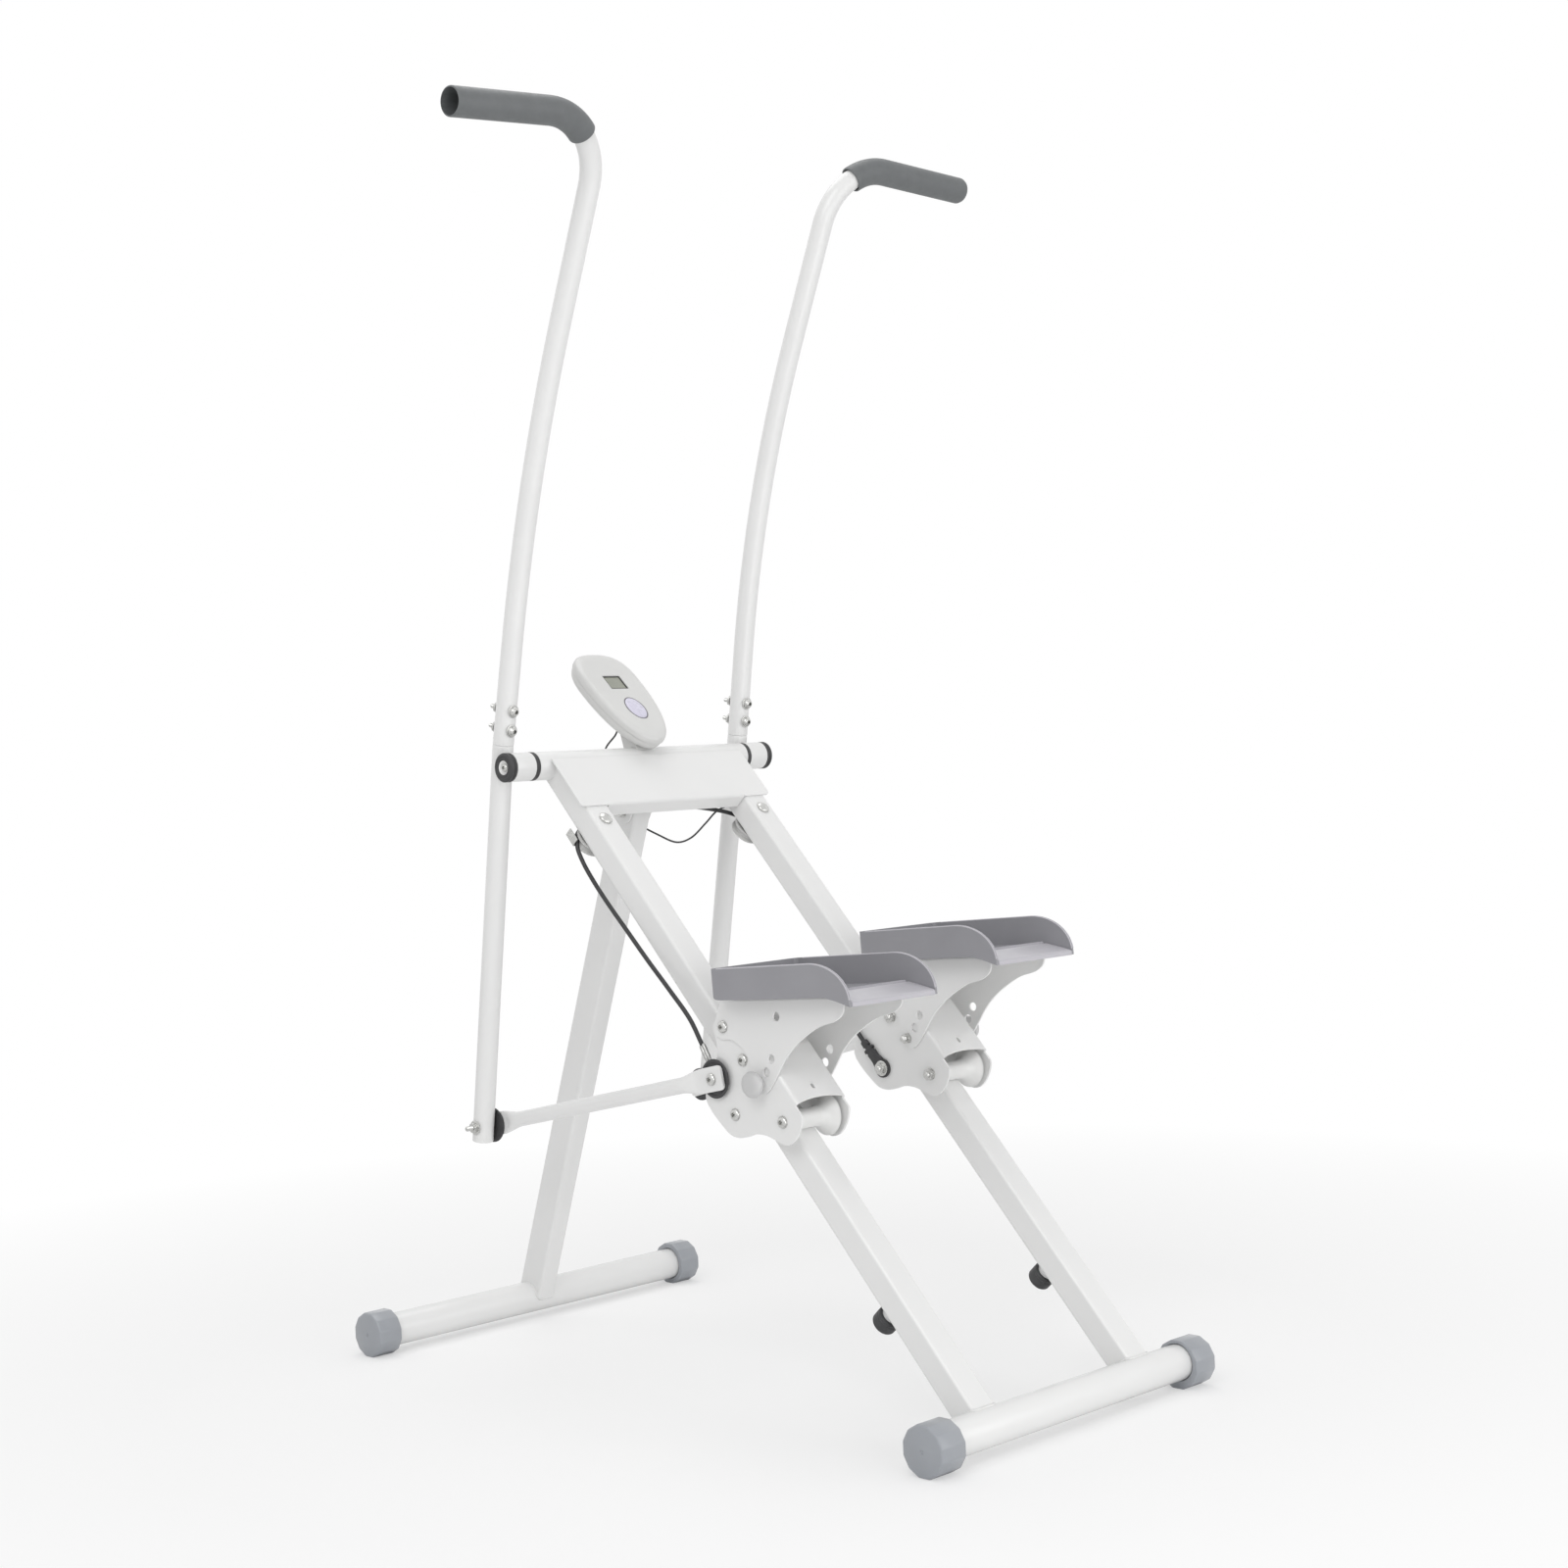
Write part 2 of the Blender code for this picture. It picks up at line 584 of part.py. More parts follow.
def build_carriage(side):
    """The folded sheet body, its rollers and its bolts. Returns the carriage's sliding empty."""
    sign = SIDES[side]
    outer = RAIL_X + CARRIAGE_HALF
    inner = RAIL_X - CARRIAGE_HALF
    slide = hinge_empty("carriage_axis_" + side, carriage_point(side, RAIL_X, UNDER_ROLLER))
    corners = [carriage_point(side, inner, p) for p in carriage_outline()]
    across = Vector((sign * (outer - inner), 0, 0))
    body = prism_object("carriage_" + side, corners, across, white(), slide)
    hollow = [(0.400, BRIDGE_TOP - SHEET), (0.700, BRIDGE_TOP - SHEET), (0.700, -0.100), (0.400, -0.100)]
    corners = [carriage_point(side, inner + SHEET, p) for p in hollow]
    across = Vector((sign * (outer - inner - 2 * SHEET), 0, 0))
    combine(body, prism_object("carriage_hollow_" + side, corners, across, white(), slide))
    arch_radius = 0.150
    arch_t = 0.6120 + arch_radius
    top = carriage_point(side, RAIL_X, (arch_t, BRIDGE_TOP + 0.01))
    bottom = carriage_point(side, RAIL_X, (arch_t, BRIDGE_TOP - SHEET - 0.0005))
    arch = rod_object("carriage_arch_" + side, bottom, top, arch_radius, white(), slide, 64)
    combine(body, arch)
    slot = [(RAIL_X - 0.0015, 0.593), (RAIL_X + 0.0035, 0.593)]
    slot += [(RAIL_X + 0.0035, 0.600), (RAIL_X - 0.0015, 0.600)]
    corners = [carriage_point(side, x, (t, BRIDGE_TOP - 0.01)) for x, t in slot]
    combine(body, prism_object("carriage_slot_" + side, corners, ABOVE * 0.02, white(), slide))
    holes = bmesh.new()
    for spot in (PEDAL_PIVOT, KNOB_AXIS):
        add_rod(holes, carriage_point(side, inner - 0.01, spot), carriage_point(side, outer + 0.01, spot),
                BOLT_RADIUS + GAP)
    combine(body, add_object("carriage_holes_" + side, holes, white(), slide))
    bolts = bmesh.new()
    for spot in (UPPER_ROLLER, LOWER_ROLLER, UNDER_ROLLER):
        under_lug = 0.0040 if (spot == UNDER_ROLLER and side == "right") else 0.0
        add_through_bolt(bolts, carriage_point(side, outer, spot),
                         carriage_point(side, inner - under_lug, spot))
    link_out = LINK_X + LINK_SHEET / 2 + GAP
    add_through_bolt(bolts, carriage_point(side, link_out, LINK_PIVOT),
                     carriage_point(side, outer - SHEET, LINK_PIVOT), tail=0.001)
    combine(body, add_object("carriage_axles_" + side, bolts, zinc(), slide), "UNION")

    nylon = material("roller_nylon", (0.70, 0.70, 0.69), 0.42)
    x_axis = Vector((1, 0, 0))
    bore = BOLT_RADIUS + GAP
    profile = [(-ROLLER_NEAR, bore), (-ROLLER_NEAR, ROLLER_FLANGE), (-0.0300, ROLLER_WAIST + 0.0070)]
    profile += [(-0.0195, ROLLER_WAIST), (0.0195, ROLLER_WAIST), (0.0270, ROLLER_WAIST + 0.0070)]
    profile += [(ROLLER_FAR, ROLLER_FLANGE), (ROLLER_FAR, bore)]
    for name, spot in (("upper_roller_", UPPER_ROLLER), ("lower_roller_", LOWER_ROLLER)):
        centre = carriage_point(side, RAIL_X, spot)
        axis = hinge_empty(name + "axis_" + side, centre, parent=slide)
        bm = bmesh.new()
        add_turned(bm, centre, x_axis, profile, 16, wrap=True)
        add_object(name + side, bm, nylon, axis)
    centre = carriage_point(side, RAIL_X, UNDER_ROLLER)
    axis = hinge_empty("under_roller_axis_" + side, centre, parent=slide)
    bm = bmesh.new()
    radius = -UNDER_ROLLER[1] - RAIL_DEPTH / 2 - GAP
    profile = [(-0.0300, bore), (-0.0300, radius), (0.0300, radius), (0.0300, bore)]
    add_turned(bm, centre, x_axis, profile, 12, wrap=True)
    add_object("under_roller_" + side, bm, nylon, axis)

    near, far = BRACKET_EDGES[side]
    bm = bmesh.new()
    add_through_bolt(bm, carriage_point(side, far + GAP, PEDAL_PIVOT),
                     carriage_point(side, near - GAP, PEDAL_PIVOT))
    add_object("pedal_pivot_bolt_" + side, bm, zinc(), slide)
    return slide


def build_cable_ends(side, slide):
    """The lug at the carriage: on the outer plate on the left, on the inner plate on the right."""
    sign = SIDES[side]
    out = Vector((sign, 0, 0))
    if side == "left":
        pivot = LINK_PIVOT
        face = RAIL_X + CARRIAGE_HALF + GAP
        sleeve_from = (0.4640, -0.0105)
        sleeve_off = 0.0
        direction = 1.0
        look = zinc()
    else:
        pivot = UNDER_ROLLER
        face = RAIL_X - CARRIAGE_HALF - GAP
        sleeve_from = (0.5150, -0.0273)
        sleeve_off = 0.0018
        direction = -1.0
        look = rubber()
    thick = 0.0034
    lug_radius = 0.0105
    middle = face + direction * thick / 2
    bm = bmesh.new()
    add_turned(bm, carriage_point(side, face, pivot), out * direction,
               [(0.0, BOLT_RADIUS + GAP), (0.0, lug_radius), (thick, lug_radius), (thick, BOLT_RADIUS + GAP)],
               14, wrap=True)
    lug = add_object("cable_end_" + side, bm, look, slide)
    centre = carriage_point(side, middle, pivot)
    top = carriage_point(side, middle + direction * sleeve_off, sleeve_from)
    along = (centre - top).normalized()
    wide = along.cross(out).normalized()
    bm = bmesh.new()
    sections = [(0.0, 0.0048, 0.0030), (0.010, 0.0050, 0.0030)]
    sections += [(0.019, 0.0054, 0.0016), (0.040, 0.0056, 0.0016)]
    reach = (centre - top).length - lug_radius + 0.0035
    rings = []
    for share, half_wide, half_thick in sections:
        spot = top + along * reach * share / 0.040
        rings.append(place([(half_wide * a, half_thick * b) for a, b in circle(1.0, 8)], spot, wide, out))
    loft(bm, rings)
    combine(lug, add_object("cable_sleeve_" + side, bm, look, slide), "UNION")


def bracket_outline():
    """Side outline of the pedal bracket on the left carriage, as (y from the bar, z)."""
    shape = [(-0.3440, 0.5060), (-0.5440, 0.5188), (-0.5500, 0.5120), (-0.5480, 0.5010), (-0.5350, 0.4915)]
    shape += [(-0.5100, 0.4840), (-0.4886, 0.4727), (-0.4660, 0.4570), (-0.4490, 0.4400), (-0.4349, 0.4200)]
    shape += [(-0.4215, 0.4030), (-0.4120, 0.3975), (-0.4020, 0.3990), (-0.3950, 0.4080), (-0.3925, 0.4280)]
    shape += [(-0.3850, 0.4430), (-0.3740, 0.4530), (-0.3590, 0.4600), (-0.3420, 0.4600), (-0.3320, 0.4650)]
    shape += [(-0.3290, 0.4760), (-0.3340, 0.4880)]
    return shape


def side_shift(side):
    """How far a carriage's pieces stand from where they are on the left one."""
    return rail_point(0, CARRIAGE_SHIFT[side], 0) - rail_point(0, 0, 0)


def pedal_web_top(y):
    """Height of the bracket's web under the pedal at a distance y from the bar."""
    toe_y, toe_z = PEDAL_TOE
    return toe_z + (toe_y - BAR_Y - y) * math.tan(PEDAL_PITCH) - GAP


def build_pedal(side, slide):
    sign = SIDES[side]
    shift = side_shift(side)
    near, far = BRACKET_EDGES[side]
    pivot = carriage_point(side, RAIL_X, PEDAL_PIVOT)
    tilt = hinge_empty("pedal_axis_" + side, pivot, parent=slide)
    shape = bracket_outline()
    front, rear = shape[0][0], shape[1][0]
    shape[0] = (front, pedal_web_top(front))
    shape[1] = (rear, pedal_web_top(rear))
    corners = [Vector((sign * near, BAR_Y + y, z)) + shift for y, z in shape]
    across = Vector((sign * (far - near), 0, 0))
    bracket = prism_object("pedal_bracket_" + side, corners, across, white(), tilt)
    front += 0.030
    rear -= 0.030
    inside = [(front, pedal_web_top(front) - BRACKET_SHEET), (rear, pedal_web_top(rear) - BRACKET_SHEET)]
    inside += [(rear, 0.30), (front, 0.30)]
    corners = [Vector((sign * (near + BRACKET_SHEET), BAR_Y + y, z)) + shift for y, z in inside]
    across = Vector((sign * (far - near - 2 * BRACKET_SHEET), 0, 0))
    combine(bracket, prism_object("bracket_hollow_" + side, corners, across, white(), tilt))
    holes = bmesh.new()
    radius = math.dist(KNOB_AXIS, PEDAL_PIVOT)
    start = math.atan2(KNOB_AXIS[1] - PEDAL_PIVOT[1], KNOB_AXIS[0] - PEDAL_PIVOT[0])
    spots = [(PEDAL_PIVOT, BOLT_RADIUS + 2 * GAP)]
    for k in range(3):
        angle = start + k * KNOB_STEP
        spot = (PEDAL_PIVOT[0] + radius * math.cos(angle), PEDAL_PIVOT[1] + radius * math.sin(angle))
        spots.append((spot, BOLT_RADIUS + 2 * GAP))
    for spot, hole in spots:
        start_point = carriage_point(side, near - 0.01, spot)
        end_point = carriage_point(side, far + 0.01, spot)
        add_rod(holes, start_point, end_point, hole, 6)
    combine(bracket, add_object("bracket_holes_" + side, holes, white(), tilt))
    build_tread(side, tilt, shift)
    build_knob(side, slide)


def pedal_side(raise_by):
    """Side outline of the pedal's underside as (rearward, up), raised by the skin where asked."""
    shape = [(-PEDAL_NOSE, raise_by), (0.186, raise_by)]
    shape += [(0.207, -0.0050 + raise_by), (PEDAL_LENGTH, -0.0118 + raise_by)]
    return shape


def build_tread(side, tilt, shift):
    """The moulded foot plate: a floor, a toe wall and side walls that sweep down at the heel."""
    sign = SIDES[side]
    toe = Vector((0, PEDAL_TOE[0], PEDAL_TOE[1])) + shift
    back = Vector((0, -math.cos(PEDAL_PITCH), math.sin(PEDAL_PITCH)))
    up = Vector((0, math.sin(PEDAL_PITCH), math.cos(PEDAL_PITCH)))
    centre_x = sign * PEDAL_X
    curve_start = 0.164
    low = -0.0065
    side_shape = pedal_side(0.0)
    side_shape += [
        (curve_start + (PEDAL_LENGTH - curve_start) * math.cos(math.radians(a)),
         low + (PEDAL_WALL - low) * math.sin(math.radians(a)))
        for a in range(0, 91, 15)
    ]
    side_shape += [(-PEDAL_NOSE, PEDAL_WALL - 0.0015)]
    corners = [Vector((centre_x - PEDAL_HALF, 0, 0)) + toe + back * p + up * q for p, q in side_shape]
    look = grey_plastic()
    pedal = prism_object("pedal_" + side, corners, Vector((2 * PEDAL_HALF, 0, 0)), look, tilt)

    def plan(half, start, radius, end):
        shape = [(-half, end), (half, end)]
        shape += [(x, p) for x, p in arc_points((half - radius, start + radius), radius, 0, -90, 4)]
        shape += [(x, p) for x, p in arc_points((-half + radius, start + radius), radius, 270, 180, 4)]
        return shape

    def plan_prism(name, shape, low_q, high_q):
        corners = [Vector((centre_x + x, 0, 0)) + toe + back * p + up * low_q for x, p in shape]
        return prism_object(name, corners, up * (high_q - low_q), look, tilt)

    outer = plan(PEDAL_HALF, -PEDAL_NOSE, PEDAL_CORNER, PEDAL_LENGTH + 0.02)
    trim = plan_prism("pedal_trim_" + side, outer, -0.03, 0.08)
    combine(pedal, trim, "INTERSECT")
    inner_half = PEDAL_HALF - PEDAL_SKIN
    cavity_side = pedal_side(0.004)
    end_p, end_q = cavity_side[-1]
    toe_wall = PEDAL_SKIN - PEDAL_NOSE
    cavity_side[0] = (toe_wall, cavity_side[0][1])
    cavity_side[-1] = (end_p + 0.02, end_q - 0.0045)
    cavity_side += [(end_p + 0.02, 0.08), (toe_wall, 0.08)]
    corners = [Vector((centre_x - inner_half, 0, 0)) + toe + back * p + up * q for p, q in cavity_side]
    cavity = prism_object("pedal_cavity_" + side, corners, Vector((2 * inner_half, 0, 0)), look, tilt)
    inner = plan(inner_half + 0.0002, toe_wall, PEDAL_CORNER - PEDAL_SKIN, PEDAL_LENGTH + 0.03)
    inner_trim = plan_prism("pedal_cavity_trim_" + side, inner, -0.03, 0.09)
    combine(cavity, inner_trim, "INTERSECT")
    combine(pedal, cavity)


def build_knob(side, slide):
    axis = hinge_empty("knob_axis_" + side, carriage_point(side, RAIL_X, KNOB_AXIS), parent=slide)
    sign = SIDES[side]
    bm = bmesh.new()
    start = carriage_point(side, 0.0, KNOB_AXIS)
    face = BRACKET_EDGES[side][1] + GAP
    nut = BRACKET_EDGES[side][0] - GAP
    profile = [(nut - 0.0085, 0.0036), (nut - 0.0060, 0.0038), (nut - 0.0060, 0.0072)]
    profile += [(nut, 0.0072), (nut, 0.0038), (face, 0.0038), (face, 0.0085), (face + 0.0034, 0.0088)]
    profile += [(face + 0.0036, 0.0150), (face + 0.0080, 0.0165), (face + 0.0125, 0.0150)]
    profile += [(face + 0.0160, 0.0090)]
    add_turned(bm, start, Vector((sign, 0, 0)), profile, 14)
    add_object("knob_" + side, bm, material("knob_plastic", (0.52, 0.52, 0.52), 0.4), axis)


def arm_point(side, out, front, up):
    """A point in an arm's own frame at rest: outward from its plane, towards the front, up the tube."""
    angle = ARM_ANGLE[side]
    y = front * math.cos(angle) - up * math.sin(angle)
    z = front * math.sin(angle) + up * math.cos(angle)
    return Vector((SIDES[side] * (ARM_X + out), BAR_Y + y, BAR_Z + z))


def leaned(side, out, front, up):
    """The same for the upper tube, which leans a little in its joint."""
    lean = ARM_LEAN[side]
    df = front - ARM_FRONT
    du = up - ARM_SEAM
    return arm_point(side, out, ARM_FRONT + df * math.cos(lean) - du * math.sin(lean),
                     ARM_SEAM + df * math.sin(lean) + du * math.cos(lean))


def handle_path(side):
    """Centre line of the upper tube, and where its grip starts."""
    points = [(0.0, ARM_FRONT, ARM_SEAM + GAP), (0.0, ARM_FRONT, KNEE_START)]
    outward = math.sin(KNEE_YAW)
    rearward = math.cos(KNEE_YAW)
    knee_steps = 5
    for k in range(1, knee_steps + 1):
        a = KNEE_ANGLE * k / knee_steps
        off = KNEE_RADIUS * (1 - math.cos(a))
        points.append((off * outward, ARM_FRONT - off * rearward, KNEE_START + KNEE_RADIUS * math.sin(a)))
    knee_end = points[-1]
    tilt = math.sin(KNEE_ANGLE)
    rise = Vector((tilt * outward, -tilt * rearward, math.cos(KNEE_ANGLE)))
    start = Vector(knee_end) + rise * (HANDLE_START - knee_end[2]) / math.cos(KNEE_ANGLE)
    points.append(tuple(start))
    turn = Vector((math.cos(HANDLE_YAW), -math.sin(HANDLE_YAW), 0.0))
    turn = (turn - rise * turn.dot(rise)).normalized()
    bend_steps = 11
    grip_first = None
    for k in range(1, bend_steps + 1):
        a = HANDLE_ANGLE[side] * k / bend_steps
        spot = start + rise * HANDLE_RADIUS * math.sin(a) + turn * HANDLE_RADIUS * (1 - math.cos(a))
        if grip_first is None and a > GRIP_START:
            grip_first = len(points)
        points.append(tuple(spot))
    final = rise * math.cos(HANDLE_ANGLE[side]) + turn * math.sin(HANDLE_ANGLE[side])
    points.append(tuple(Vector(points[-1]) + final * HANDLE_LENGTH[side]))
    return [leaned(side, *p) for p in points], grip_first


def build_arm(side):
    sign = SIDES[side]
    axis = hinge_empty("arm_axis_" + side, (sign * ARM_X, BAR_Y, BAR_Z))
    points = [arm_point(side, 0, ARM_FRONT, ARM_BOTTOM)]
    points += [leaned(side, 0, ARM_FRONT, ARM_SEAM + u) for u in (-0.003, -0.0002, 0.0, SPIGOT_LENGTH)]
    radii = [ARM_RADIUS, ARM_RADIUS, ARM_RADIUS, SPIGOT_RADIUS, SPIGOT_RADIUS]
    bores = [SPIGOT_BORE] * len(points)
    bm = bmesh.new()
    add_swept_tube(bm, points, radii, bores, 12)
    lower = add_object("arm_lower_" + side, bm, white(), axis)
    out = Vector((sign, 0, 0))
    bm = bmesh.new()
    profile = [(SLEEVE_IN, SLEEVE_BORE), (SLEEVE_IN, BAR_RADIUS)]
    profile += [(SLEEVE_OUT, BAR_RADIUS), (SLEEVE_OUT, SLEEVE_BORE)]
    add_turned(bm, Vector((0, BAR_Y, BAR_Z)), out, profile, 20, wrap=True)
    combine(lower, add_object("arm_sleeve_" + side, bm, white(), axis), "UNION")
    holes = bmesh.new()
    bolts = bmesh.new()
    for u in ARM_BOLTS:
        front_end = leaned(side, 0, ARM_FRONT + ARM_RADIUS, u)
        rear_end = leaned(side, 0, ARM_FRONT - ARM_RADIUS, u)
        along = (front_end - rear_end).normalized()
        add_rod(holes, rear_end - along * 0.01, front_end + along * 0.01, 0.0035, 6)
        add_through_bolt(bolts, rear_end - along * GAP, front_end + along * GAP, washer=0.0075, head=0.0062,
                         shank=0.003, tail=0.004)
    outer_face = arm_point(side, ARM_RADIUS, ARM_FRONT, ARM_LINK_U)
    inner_x = ARM_X - (LINK_X - LINK_SHEET / 2 - GAP)
    inner_face = arm_point(side, -inner_x, ARM_FRONT, ARM_LINK_U)
    add_through_bolt(bolts, inner_face, outer_face, washer=0.0100, head=0.0066, shank=LINK_BOLT, tail=0.0045)
    combine(lower, add_object("arm_bolts_" + side, bolts, zinc(), axis), "UNION")

    path, grip_first = handle_path(side)
    bm = bmesh.new()
    add_swept_tube(bm, path, [ARM_RADIUS] * len(path), [ARM_BORE] * len(path), 12)
    upper = add_object("arm_upper_" + side, bm, white(), axis)
    combine(upper, add_object("arm_bolt_holes_" + side, holes, white(), axis))
    bm = bmesh.new()
    grip_path = path[grip_first:]
    add_swept_tube(bm, grip_path, [GRIP_RADIUS] * len(grip_path), [ARM_RADIUS + 0.0009] * len(grip_path), 12)
    add_object("grip_" + side, bm, material("grip_foam", (0.16, 0.17, 0.18), 0.75), axis)

    bm = bmesh.new()
    disc_in = LINK_X + LINK_SHEET / 2 + GAP
    disc_out = ARM_X - ARM_RADIUS - GAP
    origin = arm_point(side, -ARM_X, ARM_FRONT, ARM_LINK_U)
    bore = BOLT_RADIUS + GAP
    edge = DISC_RADIUS - 0.001
    profile = [(disc_in, bore), (disc_in, edge), (disc_out, edge), (disc_out, bore)]
    add_turned(bm, origin, out, profile, 18, wrap=True)
    add_object("arm_disc_" + side, bm, rubber(), axis)


def build_link(side, slide):
    """The connecting rod: a round tube flattened at both ends."""
    sign = SIDES[side]
    near = carriage_point(side, LINK_X, LINK_PIVOT)
    far = arm_point(side, LINK_X - ARM_X, ARM_FRONT, ARM_LINK_U)
    axis = hinge_empty("link_axis_" + side, near, parent=slide)
    along = (far - near).normalized()
    length = (far - near).length
    out = Vector((sign, 0, 0))
    tall = along.cross(out).normalized()
    half_sheet = LINK_SHEET / 2
    end_shape = [(-LINK_BEYOND, 0.0100, half_sheet), (-LINK_BEYOND + 0.0050, LINK_FLAT, half_sheet)]
    end_shape += [(0.0262, 0.0148, half_sheet), (0.0420, 0.0120, 0.0070), (0.0560, LINK_TUBE, LINK_TUBE)]
    stations = list(end_shape)
    stations += [(length - a, w, h) for a, w, h in reversed(end_shape)]
    rings = []
    for a, wide, thick in stations:
        power = 1.0 if thick > 0.006 else 0.45
        section = []
        for k in range(12):
            angle = 2 * math.pi * k / 12
            c, s = math.cos(angle), math.sin(angle)
            a_side = wide * math.copysign(abs(c) ** power, c)
            b_side = thick * math.copysign(abs(s) ** power, s)
            section.append((a_side, b_side))
        rings.append(place(section, near + along * a, tall, out))
    bm = bmesh.new()
    loft(bm, rings)
    link = add_object("link_" + side, bm, white(), axis)
    reach = out * 0.02
    combine(link, rod_object("link_near_hole_" + side, near - reach, near + reach, BOLT_RADIUS + GAP,
                             white(), axis))
    combine(link, rod_object("link_far_hole_" + side, far - reach, far + reach, LINK_FAR_HOLE,
                             white(), axis, 12))
    bm = bmesh.new()
    bore = BOLT_RADIUS + GAP
    disc_out = LINK_X - LINK_SHEET / 2 - GAP
    plate_face = RAIL_X + CARRIAGE_HALF + GAP
    disc_in = plate_face + 0.0034 + GAP
    origin = Vector((0, near.y, near.z))
    profile = [(disc_in, bore), (disc_in, DISC_RADIUS), (disc_out, DISC_RADIUS), (disc_out, bore)]
    if side == "right":
        profile = [(plate_face, bore), (plate_face, 0.0100), (disc_in, 0.0100)] + profile[1:]
    add_turned(bm, origin, out, profile, 18, wrap=True)
    add_object("link_disc_" + side, bm, rubber(), axis)


def console_outline(count=26):
    points = []
    for k in range(count):
        angle = 2 * math.pi * k / count
        c, s = math.cos(angle), math.sin(angle)
        if s >= 0:
            power, length = 2.8, CONSOLE_UP
        else:
            power, length = 2.1, CONSOLE_DOWN
        x = CONSOLE_HALF * math.copysign(abs(c) ** (2 / power), c)
        y = CONSOLE_WIDEST + length * math.copysign(abs(s) ** (2 / power), s)
        points.append((x, y))
    return points


def console_ring(scale, level):
    middle = CONSOLE_WIDEST + (CONSOLE_UP - CONSOLE_DOWN) / 2
    return [console_point(x * scale, middle + (y - middle) * scale, level) for x, y in console_outline()]


def console_point(x, up, level):
    c = math.cos(CONSOLE_TILT)
    s = math.sin(CONSOLE_TILT)
    return Vector((x, CONSOLE_Y + up * c - level * s, CONSOLE_Z + up * s + level * c))


def build_console():
    plastic = material("console_plastic", (0.76, 0.76, 0.74), 0.4)
    bm = bmesh.new()
    levels = ((0.86, CONSOLE_BACK), (0.96, CONSOLE_BACK + 0.004), (0.985, CONSOLE_SEAM - GAP))
    loft(bm, [console_ring(scale, level) for scale, level in levels])
    back = add_object("console_back", bm, plastic)
    bm = bmesh.new()
    levels = ((1.0, CONSOLE_SEAM), (1.0, -0.0060), (0.970, -0.0018), (0.86, 0.0003))
    loft(bm, [console_ring(scale, level) for scale, level in levels])
    front = add_object("console_front", bm, plastic)
    face = Vector(console_point(0, 0, 1)) - Vector(console_point(0, 0, 0))
    recess = LENS_HALF + GAP
    square = ((-1, -1), (1, -1), (1, 1), (-1, 1))
    corners = [console_point(x * recess, y * recess, -0.0035) for x, y in square]
    combine(front, prism_object("lens_recess", corners, face * 0.01, plastic))
    corners = [console_point(x * LENS_HALF, y * LENS_HALF, -0.0032) for x, y in square]
    prism_object("console_lens", corners, face * 0.0020, material("lens", (0.28, 0.29, 0.24), 0.15))

    def oval(grow, level):
        return [console_point((BUTTON_HALF[0] + grow) * a, BUTTON_AT + (BUTTON_HALF[1] + grow) * b, level)
                for a, b in circle(1.0, 18)]

    well = bmesh.new()
    loft(well, [oval(0.0, -0.0075), oval(0.0, 0.01)])
    combine(front, add_object("button_well", well, plastic))
    axis = hinge_empty("button_axis", console_point(0, BUTTON_AT, 0))
    button = bmesh.new()
    loft(button, [oval(-GAP, -0.0052), oval(-GAP, 0.0008), oval(-0.0018, 0.0016), oval(-0.0070, 0.0021)])
    add_object("console_button", button, material("button_plastic", (0.66, 0.64, 0.74), 0.35), axis)
    shape = [(-0.012, 0.010), (-0.0110, 0.0190), (-0.0060, 0.0255)]
    back_low = console_point(0, -0.082, CONSOLE_BACK + 0.002)
    back_high = console_point(0, -0.048, CONSOLE_BACK + 0.002)
    shape += [(back_low.y - BAR_Y, back_low.z - BAR_Z), (back_high.y - BAR_Y, back_high.z - BAR_Z)]
    shape += [(0.0265, 0.050), (0.0175, 0.0200), (0.0150, 0.008)]
    corners = [Vector((-0.013, BAR_Y + y, BAR_Z + z)) for y, z in shape]
    bracket = prism_object("console_bracket", corners, Vector((0.026, 0, 0)), plastic)
    reach = Vector((0.03, 0, 0))
    bar = Vector((0, BAR_Y, BAR_Z))
    combine(back, bracket, "UNION")
    combine(back, rod_object("console_saddle", bar - reach, bar + reach, BAR_RADIUS + GAP, plastic, count=24))


def smooth_route(points, per_span):
    """A smooth curve through hand-placed points, sampled a few times per span."""
    route = []
    count = len(points)
    for i in range(count - 1):
        p0 = points[max(i - 1, 0)]
        p1, p2 = points[i], points[i + 1]
        p3 = points[min(i + 2, count - 1)]
        for k in range(per_span):
            t = k / per_span
            a = (p2 - p0) * 0.5
            b = (p3 - p1) * 0.5
            t2, t3 = t * t, t * t * t
            route.append(p1 * (2 * t3 - 3 * t2 + 1) + a * (t3 - 2 * t2 + t)
                         + p2 * (-2 * t3 + 3 * t2) + b * (t3 - t2))
    route.append(points[-1])
    return route


def add_cord(name, route, radius, look, sides):
    data = bpy.data.curves.new(name, "CURVE")
    data.dimensions = "3D"
    data.bevel_depth = radius
    data.bevel_resolution = sides
    data.use_fill_caps = True
    line = data.splines.new("POLY")
    line.points.add(len(route) - 1)
    for spot, point in zip(line.points, route):
        spot.co = (*point, 1.0)
    data.materials.append(look)
    made = bpy.data.objects.new(name, data)
    bpy.context.scene.collection.objects.link(made)
    return made


